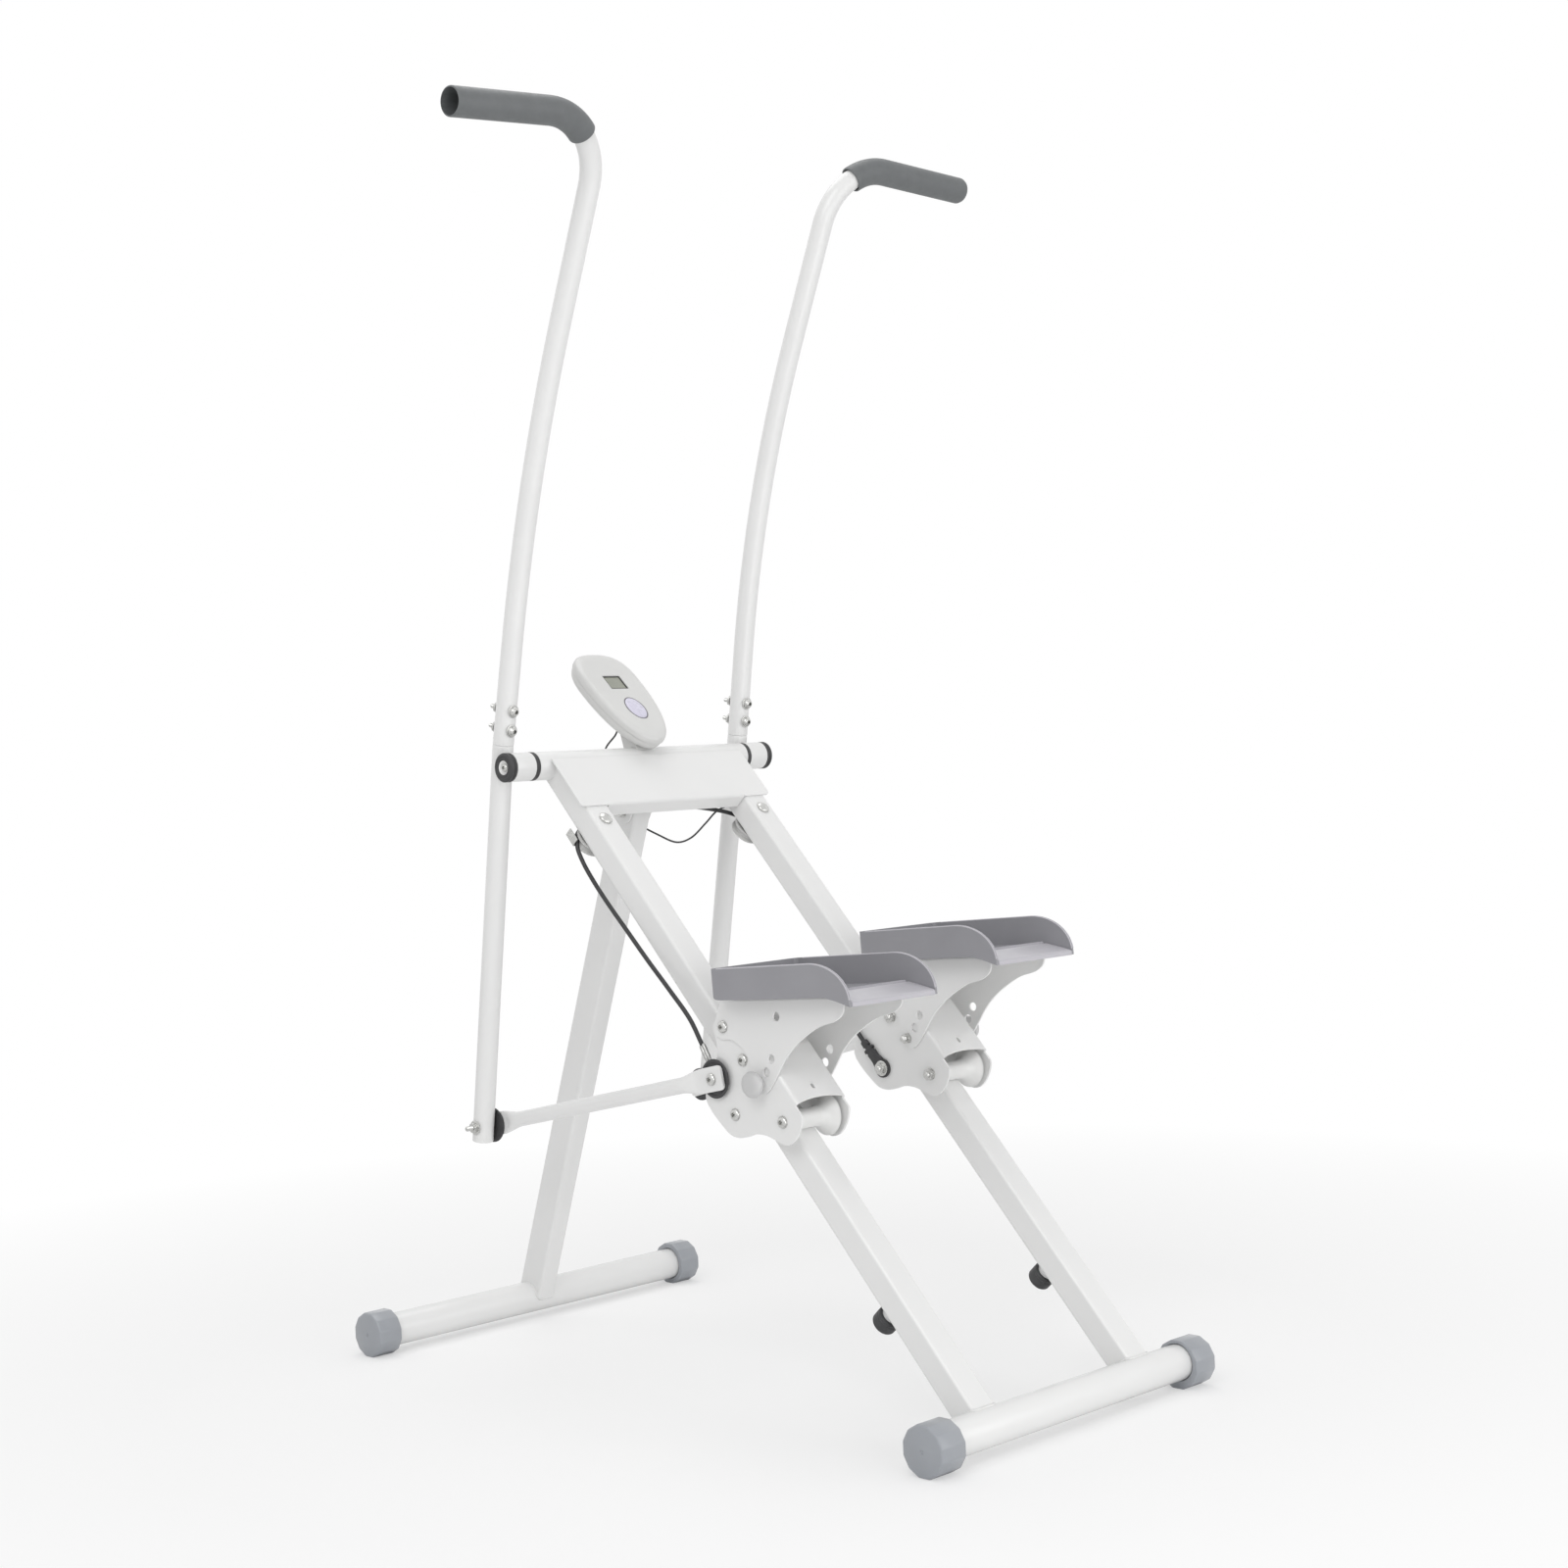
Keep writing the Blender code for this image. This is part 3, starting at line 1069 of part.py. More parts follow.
def build_cable():
    """The steel cable that joins the carriages over both pulleys, in its black sheath."""
    turn = RAIL_X + CABLE_TURN
    left = [(0.1880, 0.4615, -0.0100), (0.1835, 0.4150, -0.0095), (0.1785, 0.3600, -0.0125)]
    left += [(0.1730, 0.2640, -0.0300), (0.1680, 0.1850, -0.0375), (0.1652, 0.1400, -0.0318)]
    right = [(0.0982, 0.4845, -0.0275), (0.0984, 0.4680, -0.0268), (0.1060, 0.4420, -0.0250)]
    right += [(0.1250, 0.4080, -0.0240), (0.1450, 0.3600, -0.0240), (0.1560, 0.2900, -0.0255)]
    right += [(0.1612, 0.2100, -0.0262), (0.1636, 0.1440, -0.0256)]
    points = [rail_point(-x, t, h) for x, t, h in left]
    points += [rail_point(-turn, PULLEY_T + 0.008, PULLEY_H - 0.0002)]
    route = smooth_route(points, 4)
    for a in range(0, 76, 15):
        c = math.cos(math.radians(a))
        s = math.sin(math.radians(a))
        route.append(rail_point(-RAIL_X - CABLE_TURN * c, PULLEY_T - CABLE_TURN * s, PULLEY_H))
    half = [(0.1340, 0.0925), (0.1200, 0.0875), (0.0900, 0.0780), (0.0450, 0.0690), (0.0, 0.0660)]
    arch = [rail_point(-x, t, PULLEY_H) for x, t in half]
    arch += [rail_point(x, t, PULLEY_H) for x, t in reversed(half[:-1])]
    route += smooth_route(arch, 2)
    for a in range(75, -1, -15):
        c = math.cos(math.radians(a))
        s = math.sin(math.radians(a))
        route.append(rail_point(RAIL_X + CABLE_TURN * c, PULLEY_T - CABLE_TURN * s, PULLEY_H))
    points = [rail_point(x, t, h) for x, t, h in right]
    points += [rail_point(turn, PULLEY_T + 0.008, PULLEY_H - 0.0002)]
    route += list(reversed(smooth_route(points, 4)))
    add_cord("cable", route, CABLE_RADIUS, rubber(), 2)


def build_wire():
    """The thin sensor lead from the console's back to the right pulley."""
    spots = [(-0.0156, 0.0300, 0.0373), (-0.0275, 0.0380, 0.0190), (-0.0266, 0.0440, -0.0092)]
    spots += [(-0.0194, 0.0490, -0.0378), (0.0000, 0.0550, -0.0500), (0.0220, 0.0470, -0.0800)]
    spots += [(0.0340, 0.0054, -0.1032), (0.0560, -0.0080, -0.1146), (0.0750, -0.0157, -0.1096)]
    spots += [(0.0960, -0.0244, -0.0904), (0.1090, -0.0334, -0.0747)]
    points = [console_point(-0.022, -0.062, CONSOLE_BACK - 4 * GAP)]
    points += [Vector((x, BAR_Y + y, BAR_Z + z)) for x, y, z in spots]
    points += [rail_point(RAIL_X - RAIL_WIDTH / 2 - 0.004, 0.080, -0.010)]
    add_cord("sensor_wire", smooth_route(points, 3), WIRE_RADIUS, rubber(), 2)


def main():
    clear_scene()
    build_crossbar()
    build_rails()
    build_cover()
    build_pulleys()
    build_bumpers()
    leg_axis = hinge_empty("leg_axis", (0, LEG_PIVOT_Y, LEG_PIVOT_Z))
    build_leg(leg_axis)
    build_leg_hinge()
    build_feet(leg_axis)
    for side in SIDES:
        slide = build_carriage(side)
        build_cable_ends(side, slide)
        build_pedal(side, slide)
        build_arm(side)
        build_link(side, slide)
    build_console()
    build_cable()
    build_wire()


main()
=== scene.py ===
from math import atan2, copysign, cos, dist, pi, radians, sin, sqrt, tan

import bmesh
import bpy
from mathutils import Matrix, Vector


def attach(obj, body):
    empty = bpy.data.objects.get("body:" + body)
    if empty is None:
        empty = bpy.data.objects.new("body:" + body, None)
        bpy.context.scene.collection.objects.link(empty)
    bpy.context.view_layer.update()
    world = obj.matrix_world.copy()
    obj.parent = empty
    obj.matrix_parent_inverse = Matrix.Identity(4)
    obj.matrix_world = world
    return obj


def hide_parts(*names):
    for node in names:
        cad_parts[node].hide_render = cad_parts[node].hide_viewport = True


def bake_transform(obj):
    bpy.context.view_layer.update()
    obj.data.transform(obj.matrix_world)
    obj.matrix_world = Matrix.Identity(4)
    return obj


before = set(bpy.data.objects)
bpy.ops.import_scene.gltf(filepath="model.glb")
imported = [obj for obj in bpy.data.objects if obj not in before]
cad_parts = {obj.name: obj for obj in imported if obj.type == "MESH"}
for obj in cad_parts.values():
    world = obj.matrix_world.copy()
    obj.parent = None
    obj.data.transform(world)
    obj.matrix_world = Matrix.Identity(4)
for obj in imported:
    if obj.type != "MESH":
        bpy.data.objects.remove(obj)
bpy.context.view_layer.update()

# Main frame
BAR_Y = 0.216
BAR_Z = 0.801
BAR_RADIUS = 0.019
BAR_BORE = 0.0165
BAR_HALF = 0.1893
SHAFT_RADIUS = 0.0125
RAIL_ANGLE = radians(47.65)
RAIL_X = 0.144
RAIL_WIDTH = 0.038
RAIL_DEPTH = 0.037
RAIL_WALL = 0.002
RAIL_LENGTH = 1.045
FOOT_RADIUS = 0.02225
FOOT_BORE = 0.0203
REAR_FOOT = (BAR_Y - 0.708, 0.033)
REAR_HALF = 0.256
FRONT_FOOT = (BAR_Y + 0.276, 0.030)
FRONT_HALF = 0.297
CAP_APOTHEM = 0.030
CAP_SIDES = 12
CAP_CORNER = 0.0014
CAP_WALL = 0.0045
FRONT_CAP_LENGTH = 0.036
REAR_CAP_LENGTH = 0.040
REAR_CAP_OFFSET = 0.003
SHEET = 0.003
GAP = 0.0003
COPE_GAP = 0.0001

# Folding leg
LEG_WIDTH = 0.030
LEG_DEPTH = 0.045
LEG_PIVOT = (BAR_Y + 0.019, BAR_Z - 0.067)
LEG_ABOVE_PIVOT = 0.025
LEG_BOLT = 0.005

# Pulleys, bumpers and cover at the rails
PULLEY_T = 0.114
PULLEY_H = -0.0252
PULLEY_RADIUS = 0.022
PULLEY_GROOVE = 0.0164
PULLEY_HALF = 0.006
CABLE_RADIUS = 0.0029
CABLE_TURN = 0.0198
BUMPER_T = 0.868
BUMPER_RADIUS = 0.0155
BUMPER_SEAT = -0.0270
COVER_HALF = 0.172
COVER_TOP_T = 0.007
COVER_END_T = 0.0915
COVER_SHEET = 0.002
LIP_DEPTH = 0.0225

# Carriages: places are (distance down the rail from the bar, height over the rail's centre)
CARRIAGE_SHIFT = {"left": 0.0, "right": -0.028}
CARRIAGE_HALF = 0.042
PEDAL_PIVOT = (0.473, 0.0354)
UPPER_ROLLER = (0.522, 0.031)
LOWER_ROLLER = (0.618, 0.031)
UNDER_ROLLER = (0.561, -0.0273)
LINK_PIVOT = (0.510, -0.020)
KNOB_AXIS = (0.562, 0.036)
BRIDGE_TOP = 0.067
ROLLER_WAIST = 0.0122
ROLLER_FLANGE = 0.026
ROLLER_NEAR = 0.0375
ROLLER_FAR = 0.0325
BOLT_RADIUS = 0.004
BORE = BOLT_RADIUS + GAP
LUG_THICK = 0.0034
BRACKET_EDGES = {"left": (0.085, 0.189), "right": (0.099, 0.2065)}
BRACKET_SHEET = 0.0025
KNOB_STEP = radians(12.25)

# Pedals
PEDAL_TOE = (BAR_Y - 0.360, 0.511)
PEDAL_PITCH = radians(3.7)
PEDAL_X = 0.142
PEDAL_HALF = 0.076
PEDAL_LENGTH = 0.228
PEDAL_NOSE = 0.005
PEDAL_CORNER = 0.010
PEDAL_WALL = 0.040
PEDAL_SKIN = 0.0035
TEETH = 46
RIBS = 9

# Arms
ARM_X = 0.214
ARM_RADIUS = 0.014
ARM_BORE = 0.0122
ARM_FRONT = 0.032
ARM_BOTTOM = -0.511
ARM_SEAM = 0.0255
ARM_ANGLE = {"left": radians(8.58), "right": radians(10.18)}
ARM_LEAN = {"left": radians(3.34), "right": radians(-1.01)}
SPIGOT_RADIUS = 0.0118
SPIGOT_LENGTH = 0.070
SLEEVE_IN = 0.1963
SLEEVE_OUT = 0.228
SLEEVE_BORE = 0.0163
CAP_OUT = 0.2388
KNEE_START = 0.150
KNEE_ANGLE = radians(12.82)
KNEE_YAW = radians(7.9)
KNEE_RADIUS = 1.962
HANDLE_START = 0.7467
HANDLE_RADIUS = 0.0868
HANDLE_ANGLE = {"left": radians(91.86), "right": radians(90.25)}
HANDLE_YAW = radians(3.0)
HANDLE_LENGTH = {"left": 0.1532, "right": 0.1550}
GRIP_RADIUS = 0.0182
GRIP_START = radians(48.4)
ARM_BOLTS = (0.0465, 0.0725)
ARM_LINK_U = -0.491
LINK_X = 0.195
LINK_SHEET = 0.004
LINK_TUBE = 0.010
LINK_FLAT = 0.0155
LINK_BEYOND = 0.018
LINK_BOLT = 0.0035
LINK_FAR_HOLE = 0.0088
DISC_RADIUS = 0.0245

# Console
CONSOLE_Y = BAR_Y + 0.043
CONSOLE_Z = 0.9114
CONSOLE_TILT = radians(43.0)
CONSOLE_HALF = 0.050
CONSOLE_WIDEST = 0.005
CONSOLE_UP = 0.058
CONSOLE_DOWN = 0.123
CONSOLE_SEAM = -0.012
CONSOLE_BACK = -0.026
LENS_HALF = (0.0150, 0.0130)
BUTTON_AT = -0.055
BUTTON_HALF = (0.015, 0.021)
WIRE_RADIUS = 0.0013

SIDES = {"left": -1.0, "right": 1.0}
X_AXIS = Vector((1.0, 0.0, 0.0))
BAR = Vector((0.0, BAR_Y, BAR_Z))
ROUND = 48


# Materials


def feed(tree, node, inputs):
    """Sets a node's inputs. Each takes a value, or the socket that feeds it."""
    for key, value in inputs.items():
        if isinstance(value, bpy.types.NodeSocket):
            tree.links.new(value, node.inputs[key])
        else:
            node.inputs[key].default_value = value


def add_node(tree, kind, inputs, **settings):
    made = tree.nodes.new("ShaderNode" + kind)
    for key, value in settings.items():
        setattr(made, key, value)
    feed(tree, made, inputs)
    return made


def value_range(tree, source, low, high, start=0.3, end=0.7):
    """Maps a grey value onto a range and returns the socket."""
    limits = {"From Min": start, "From Max": end, "To Min": low, "To Max": high}
    return add_node(tree, "MapRange", {"Value": source, **limits}).outputs["Result"]


def noise(tree, source, scale, detail=3.0, stretch=None):
    """A noise texture in the object's own metres, with features about one over scale wide."""
    if stretch:
        source = add_node(tree, "Mapping", {"Vector": source, "Scale": stretch}).outputs["Vector"]
    return add_node(tree, "TexNoise", {"Vector": source, "Scale": scale, "Detail": detail}).outputs["Fac"]


def mix_colours(tree, factor, one, two):
    return add_node(tree, "Mix", {"Factor": factor, "A": one, "B": two}, data_type="RGBA").outputs["Result"]


def material(name, colour, rough, metallic=0.0, spread=0.03, mottle=25.0, rough_spread=0.06,
             grain=900.0, bump=0.10, depth=0.0004, coat=0.0, scuff=0.0, scuff_colour=None):
    """A surface with colour mottling, uneven gloss, a fine bump and, where asked, scuffs."""
    made = bpy.data.materials.new(name)
    made.use_nodes = True
    tree = made.node_tree
    spot = add_node(tree, "TexCoord", {}).outputs["Object"]
    dark = (*[c * (1.0 - spread) for c in colour], 1.0)
    light = (*[min(1.0, c * (1.0 + spread)) for c in colour], 1.0)
    painted = mix_colours(tree, value_range(tree, noise(tree, spot, mottle, 4.0), 0.0, 1.0), dark, light)
    if scuff:
        marks = value_range(tree, noise(tree, spot, 60.0, 8.0, (1.0, 0.22, 1.0)), 0.0, scuff, 0.60, 0.75)
        painted = mix_colours(tree, marks, painted, (*scuff_colour, 1.0))
    gloss = noise(tree, spot, mottle * 2.7, 5.0)
    relief = {"Strength": bump, "Distance": depth, "Height": noise(tree, spot, grain, 2.0)}
    feed(tree, tree.nodes["Principled BSDF"], {
        "Metallic": metallic,
        "Coat Weight": coat,
        "Coat Roughness": 0.13,
        "Base Color": painted,
        "Roughness": value_range(tree, gloss, rough - rough_spread, rough + rough_spread),
        "Normal": add_node(tree, "Bump", relief).outputs["Normal"],
    })
    return made


POWDER = material("white_powder_coat", (0.79, 0.79, 0.785), 0.36, spread=0.012, mottle=9.0, grain=520.0,
                  bump=0.07, depth=0.0005, coat=0.5)
WELD = material("painted_weld", (0.77, 0.77, 0.765), 0.42, mottle=120.0,
                grain=700.0, bump=0.35, depth=0.0006, coat=0.10)
ZINC = material("zinc_plate", (0.60, 0.60, 0.585), 0.27, 1.0, spread=0.10, mottle=160.0, rough_spread=0.09,
                grain=2400.0, depth=0.0002)
RUBBER = material("black_rubber", (0.040, 0.040, 0.042), 0.52, spread=0.16, mottle=60.0, grain=1500.0,
                  bump=0.16, scuff=0.10, scuff_colour=(0.11, 0.11, 0.11))
SHEATH = material("cable_sheath", (0.028, 0.028, 0.030), 0.36, spread=0.15, mottle=40.0,
                  grain=1300.0)
PEDAL = material("grey_plastic", (0.290, 0.288, 0.308), 0.44, spread=0.035, mottle=18.0, rough_spread=0.07,
                 grain=1500.0, bump=0.16, scuff=0.12, scuff_colour=(0.42, 0.42, 0.43))
# Lighter copy of the pedal plastic: painted highlight where light falls on the heel, its knurl and the wall
# rims.
PEDAL_HIGHLIGHT = material("pedal_highlight", (0.500, 0.490, 0.525), 0.34, spread=0.015, mottle=22.0,
                grain=300.0, bump=0.01)
CAP = material("cap_plastic", (0.312, 0.328, 0.355), 0.34, grain=1200.0, bump=0.07, coat=0.5, scuff=0.06,
               scuff_colour=(0.45, 0.46, 0.48))
PULLEY = material("pulley_nylon", (0.58, 0.58, 0.57), 0.40, spread=0.05, mottle=45.0, grain=1200.0)
ROLLER = material("roller_nylon", (0.76, 0.76, 0.75), 0.34, spread=0.025, mottle=35.0, grain=1000.0, coat=0.1)
KNOB = material("knob_plastic", (0.56, 0.56, 0.56), 0.34, mottle=50.0, grain=1300.0, coat=0.1)
FOAM = material("grip_foam", (0.140, 0.148, 0.152), 0.50, spread=0.05, mottle=70.0, bump=0.14)
CONSOLE = material("console_plastic", (0.66, 0.66, 0.65), 0.36, spread=0.015, mottle=20.0, grain=1400.0,
                   coat=0.1)
LENS = material("lens", (0.255, 0.265, 0.215), 0.12, spread=0.05, mottle=90.0, rough_spread=0.03, grain=600.0,
                bump=0.02, coat=0.6)
BUTTON = material("button_plastic", (0.64, 0.62, 0.74), 0.28, mottle=60.0, grain=1200.0, bump=0.06, coat=0.3)
# Near-black, for painted shade down in the display's recess.
RECESS_SHADE = material("shadow_seam", (0.05, 0.05, 0.05), 0.7, spread=0.2, mottle=60.0)
# Dark grey, for painted shade in the gap round the button.
GAP_SHADE = material("button_gap_shade", (0.16, 0.155, 0.17), 0.35, spread=0.12, mottle=80.0,
                grain=1400.0, bump=0.04)
CRIMP = material("crimped_steel", (0.44, 0.44, 0.43), 0.36, 1.0, spread=0.12, mottle=150.0,
                 rough_spread=0.09, grain=2200.0, bump=0.14, depth=0.0002)


# Places

def rail_point(x, t, h):
    """A point at x across, t down the rail from the bar's axis and h above the rail's centre line."""
    c = cos(RAIL_ANGLE)
    s = sin(RAIL_ANGLE)
    return Vector((x, BAR_Y - t * c - h * s, BAR_Z - t * s + h * c))


DOWN = rail_point(0, 1, 0) - rail_point(0, 0, 0)
ABOVE = rail_point(0, 0, 1) - rail_point(0, 0, 0)


def carriage_point(side, x, spot):
    """A point on a carriage: x is the distance from the machine's middle plane."""
    return rail_point(SIDES[side] * x, spot[0] + CARRIAGE_SHIFT[side], spot[1])


def arm_point(side, out, front, up):
    """A point in an arm's own frame at rest: outward from its plane, towards the front, up the tube."""
    angle = ARM_ANGLE[side]
    y = front * cos(angle) - up * sin(angle)
    z = front * sin(angle) + up * cos(angle)
    return Vector((SIDES[side] * (ARM_X + out), BAR_Y + y, BAR_Z + z))


def leaned(side, out, front, up):
    """The same for the upper tube, which leans a little in its joint."""
    lean = ARM_LEAN[side]
    df = front - ARM_FRONT
    du = up - ARM_SEAM
    turned_front = ARM_FRONT + df * cos(lean) - du * sin(lean)
    turned_up = ARM_SEAM + df * sin(lean) + du * cos(lean)
    return arm_point(side, out, turned_front, turned_up)


def console_point(x, up, level):
    """A point on the tilted console: across, up its face and out from the face."""
    c = cos(CONSOLE_TILT)
    s = sin(CONSOLE_TILT)
    return Vector((x, CONSOLE_Y + up * c - level * s, CONSOLE_Z + up * s + level * c))


def across(centre, reach):
    """The two ends of a line across the machine, through a point."""
    return centre - X_AXIS * reach, centre + X_AXIS * reach


# Shapes

def circle(count, shift=0.0):
    """Angles round a full turn, each with its cosine and sine."""
    angles = [2 * pi * (k + shift) / count for k in range(count)]
    return [(angle, cos(angle), sin(angle)) for angle in angles]


def rounded(wide, high, power, c, s):
    """A point of an oval that is squarer the lower its power is."""
    return wide * copysign(abs(c) ** power, c), high * copysign(abs(s) ** power, s)


def arc_points(centre, radius, start, end, steps):
    angles = [radians(start + (end - start) * k / steps) for k in range(steps + 1)]
    return [(centre[0] + radius * cos(angle), centre[1] + radius * sin(angle)) for angle in angles]


def rounded_box(width, depth, radius, steps=6):
    points = []
    for sx, sy, start in ((1, 1, 0), (-1, 1, 90), (-1, -1, 180), (1, -1, 270)):
        centre = (sx * (width / 2 - radius), sy * (depth / 2 - radius))
        points += arc_points(centre, radius, start, start + 90, steps)
    return points


def ring_profile(low, high, bore, radius):
    """Section of a plain ring from low to high along its axis."""
    return [(low, bore), (low, radius), (high, radius), (high, bore)]


def shifted(start, points):
    """A profile moved along its axis."""
    return [(start + along, radius) for along, radius in points]


def mirrored(half):
    """The other half of a profile, in the order that leads up to this one."""
    return [(-along, radius) for along, radius in reversed(half)]


def place(section, centre, side, up):
    return [centre + side * a + up * b for a, b in section]


def between(p, q, low, high, t):
    """The point at t on a line that passes p at low and q at high."""
    return p * ((high - t) / (high - low)) + q * ((t - low) / (high - low))


def smooth(points, steps, closed=False):
    """A smooth curve through points at uneven spacing, without loops or overshoot."""
    spots = [Vector(p) for p in points]
    count = len(spots)
    made = []
    for i in range(count if closed else count - 1):
        if closed:
            p0, p1, p2, p3 = [spots[(i + k) % count] for k in (-1, 0, 1, 2)]
        else:
            p1, p2 = spots[i], spots[i + 1]
            p0 = spots[i - 1] if i else p1 * 2 - p2
            p3 = spots[i + 2] if i + 2 < count else p2 * 2 - p1
        t1 = (p1 - p0).length ** 0.5
        t2 = t1 + (p2 - p1).length ** 0.5
        t3 = t2 + (p3 - p2).length ** 0.5
        for k in range(steps):
            t = t1 + (t2 - t1) * k / steps
            a2 = between(p1, p2, t1, t2, t)
            b1 = between(between(p0, p1, 0.0, t1, t), a2, 0.0, t2, t)
            b2 = between(a2, between(p2, p3, t2, t3, t), t1, t3, t)
            made.append(between(b1, b2, t1, t2, t))
    if not closed:
        made.append(spots[-1])
    return made


def corner_points(corner, before, after, reach, shares):
    """A rounded corner, from its two sides' directions."""
    start = corner + before.normalized() * reach
    end = corner + after.normalized() * reach
    return [tuple(start * (1 - s) ** 2 + corner * 2 * s * (1 - s) + end * s ** 2) for s in shares]


def soften(profile, radius, steps=3, wrap=False):
    """Rounds the corners of a flat line of (along, radius) points."""
    count = len(profile)
    shares = [k / steps for k in range(steps + 1)]
    made = []
    for i, point in enumerate(profile):
        if not wrap and i in (0, count - 1):
            made.append(point)
            continue
        corner = Vector(point)
        before = Vector(profile[i - 1]) - corner
        after = Vector(profile[(i + 1) % count]) - corner
        reach = min(radius, before.length * 0.45, after.length * 0.45)
        made += corner_points(corner, before, after, reach, shares)
    return made


def loft(bm, rings, wrap=False):
    """Skins rings of equal count. A wrapped loft closes on itself, an open one gets flat end caps."""
    made = [[bm.verts.new(p) for p in ring] for ring in rings]
    pairs = list(zip(made[:-1], made[1:]))
    if wrap:
        pairs.append((made[-1], made[0]))
    for one, two in pairs:
        count = len(one)
        for k in range(count):
            n = (k + 1) % count
            bm.faces.new((one[k], one[n], two[n], two[k]))
    if not wrap:
        bm.faces.new(list(reversed(made[0])))
        bm.faces.new(made[-1])


def spin(bm, origin, axis, profile, count=ROUND, wrap=False):
    """Turns a profile of (along, radius) about an axis. A radius may be a function of the angle."""
    side = axis.orthogonal().normalized()
    up = axis.cross(side)
    rings = []
    for along, radius in profile:
        centre = origin + axis * along
        ring = []
        for angle, c, s in circle(count):
            r = radius(angle) if callable(radius) else radius
            ring.append(centre + side * r * c + up * r * s)
        rings.append(ring)
    loft(bm, rings, wrap)


def hexagon(apothem, cap=1.0):
    """Radius of a hexagon at an angle, cut by a round of radius cap."""
    return lambda angle: min(apothem / cos((angle % (pi / 3)) - pi / 6), cap)


def star(radius):
    """Radius of a six-lobed driver socket at an angle."""
    return lambda angle: radius * (1 + 0.20 * cos(6 * angle))


def sweep(bm, points, radii, bores=None, count=ROUND, closed=False):
    """A round tube along a path. With bores it is hollow and open at its ends."""
    frames = []
    side = None
    total = len(points)
    for k, point in enumerate(points):
        before = points[(k - 1) % total] if closed else points[max(k - 1, 0)]
        after = points[(k + 1) % total] if closed else points[min(k + 1, total - 1)]
        along = (after - before).normalized()
        if side is None:
            side = along.orthogonal().normalized()
        side = (side - along * side.dot(along)).normalized()
        frames.append((point, side.copy(), along.cross(side)))
    stations = list(zip(frames, radii))
    if bores:
        stations += reversed(list(zip(frames, bores)))
    unit = circle(count)
    rings = [place([(c * radius, s * radius) for _, c, s in unit], *spot) for spot, radius in stations]
    loft(bm, rings, wrap=closed or bool(bores))


def add_bead(bm, points, radius):
    """A closed weld bead with the ripples of its passes."""
    radii = [radius * (1.0 + 0.14 * sin(k * 2.1)) for k in range(len(points))]
    sweep(bm, points, radii, count=10, closed=True)


def raw(name, bm):
    """Turns mesh work into an object with outward faces."""
    bmesh.ops.remove_doubles(bm, verts=bm.verts, dist=1e-7)
    bmesh.ops.recalc_face_normals(bm, faces=bm.faces)
    mesh = bpy.data.meshes.new(name)
    bm.to_mesh(mesh)
    bm.free()
    made = bpy.data.objects.new(name, mesh)
    bpy.context.scene.collection.objects.link(made)
    return made


def lofted(name, rings, wrap=False):
    bm = bmesh.new()
    loft(bm, rings, wrap)
    return raw(name, bm)


def prism(name, corners, offset):
    return lofted(name, [corners, [p + offset for p in corners]])


def bar_prism(name, half, shape):
    """A prism across the middle plane, from its side outline as (y, z) from the bar."""
    return prism(name, [Vector((-half, BAR_Y + y, BAR_Z + z)) for y, z in shape], X_AXIS * 2 * half)


def box_tube(name, ends, up, width, depth, corner, inner_corner):
    outer = rounded_box(width, depth, corner)
    inner = rounded_box(width - 2 * RAIL_WALL, depth - 2 * RAIL_WALL, inner_corner)
    rings = [place(outer, end, X_AXIS, up) for end in ends]
    rings += [place(inner, end, X_AXIS, up) for end in reversed(ends)]
    return lofted(name, rings, wrap=True)


def cut(target, tool, operation="DIFFERENCE"):
    """Cuts or joins with another object, keeps the result in the mesh and removes the other object."""
    step = target.modifiers.new("cut", "BOOLEAN")
    step.operation = operation
    step.solver = "EXACT"
    step.object = tool
    bpy.context.view_layer.update()
    graph = bpy.context.evaluated_depsgraph_get()
    result = bpy.data.meshes.new_from_object(target.evaluated_get(graph))
    target.modifiers.clear()
    old = target.data
    target.data = result
    bpy.data.meshes.remove(old)
    bpy.data.objects.remove(tool)


def drill(target, start, end, radius, count=32):
    """Cuts a round hole from start to end."""
    bm = bmesh.new()
    sweep(bm, [start, end], [radius, radius], count=count)
    cut(target, raw("hole", bm))


def finish(obj, look, body, node=None, edge=0.0, segments=2, crease=38.0):
    """Gives a piece its material, edges and shading, and fixes it to its body.

    A piece with _look in its name replaces the CAD node of that name, unless another node is given.
    """
    mesh = obj.data
    mesh.materials.clear()
    mesh.materials.append(look)
    mesh.shade_smooth()
    if edge:
        bevel = obj.modifiers.new("edges", "BEVEL")
        bevel.width = edge
        bevel.segments = segments
        bevel.limit_method = "ANGLE"
        bevel.angle_limit = radians(crease)
        bevel.use_clamp_overlap = True
        weighted = obj.modifiers.new("shading", "WEIGHTED_NORMAL")
        weighted.mode = "FACE_AREA"
        weighted.weight = 50
    else:
        mesh.set_sharp_from_angle(angle=radians(crease))
    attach(obj, body)
    if node is None and "_look" in obj.name:
        node = obj.name.replace("_look", "")
    if node:
        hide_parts(node)


def piece(name, bm, look, body, **more):
    finish(raw(name, bm), look, body, **more)


def turned(name, look, body, origin, axis, profile, soft, steps=3, count=72, wrap=True, crease=60, node=None):
    """A turned piece whose profile has softened corners."""
    bm = bmesh.new()
    spin(bm, origin, axis, soften(profile, soft, steps, wrap), count, wrap)
    piece(name, bm, look, body, node=node, crease=crease)


# Fasteners

def add_washer(bm, at, out, radius, thick=0.0012, bore=BOLT_RADIUS):
    spin(bm, at, out, soften(ring_profile(0.0, thick, bore, radius), 0.0003, 2, wrap=True), 36, wrap=True)


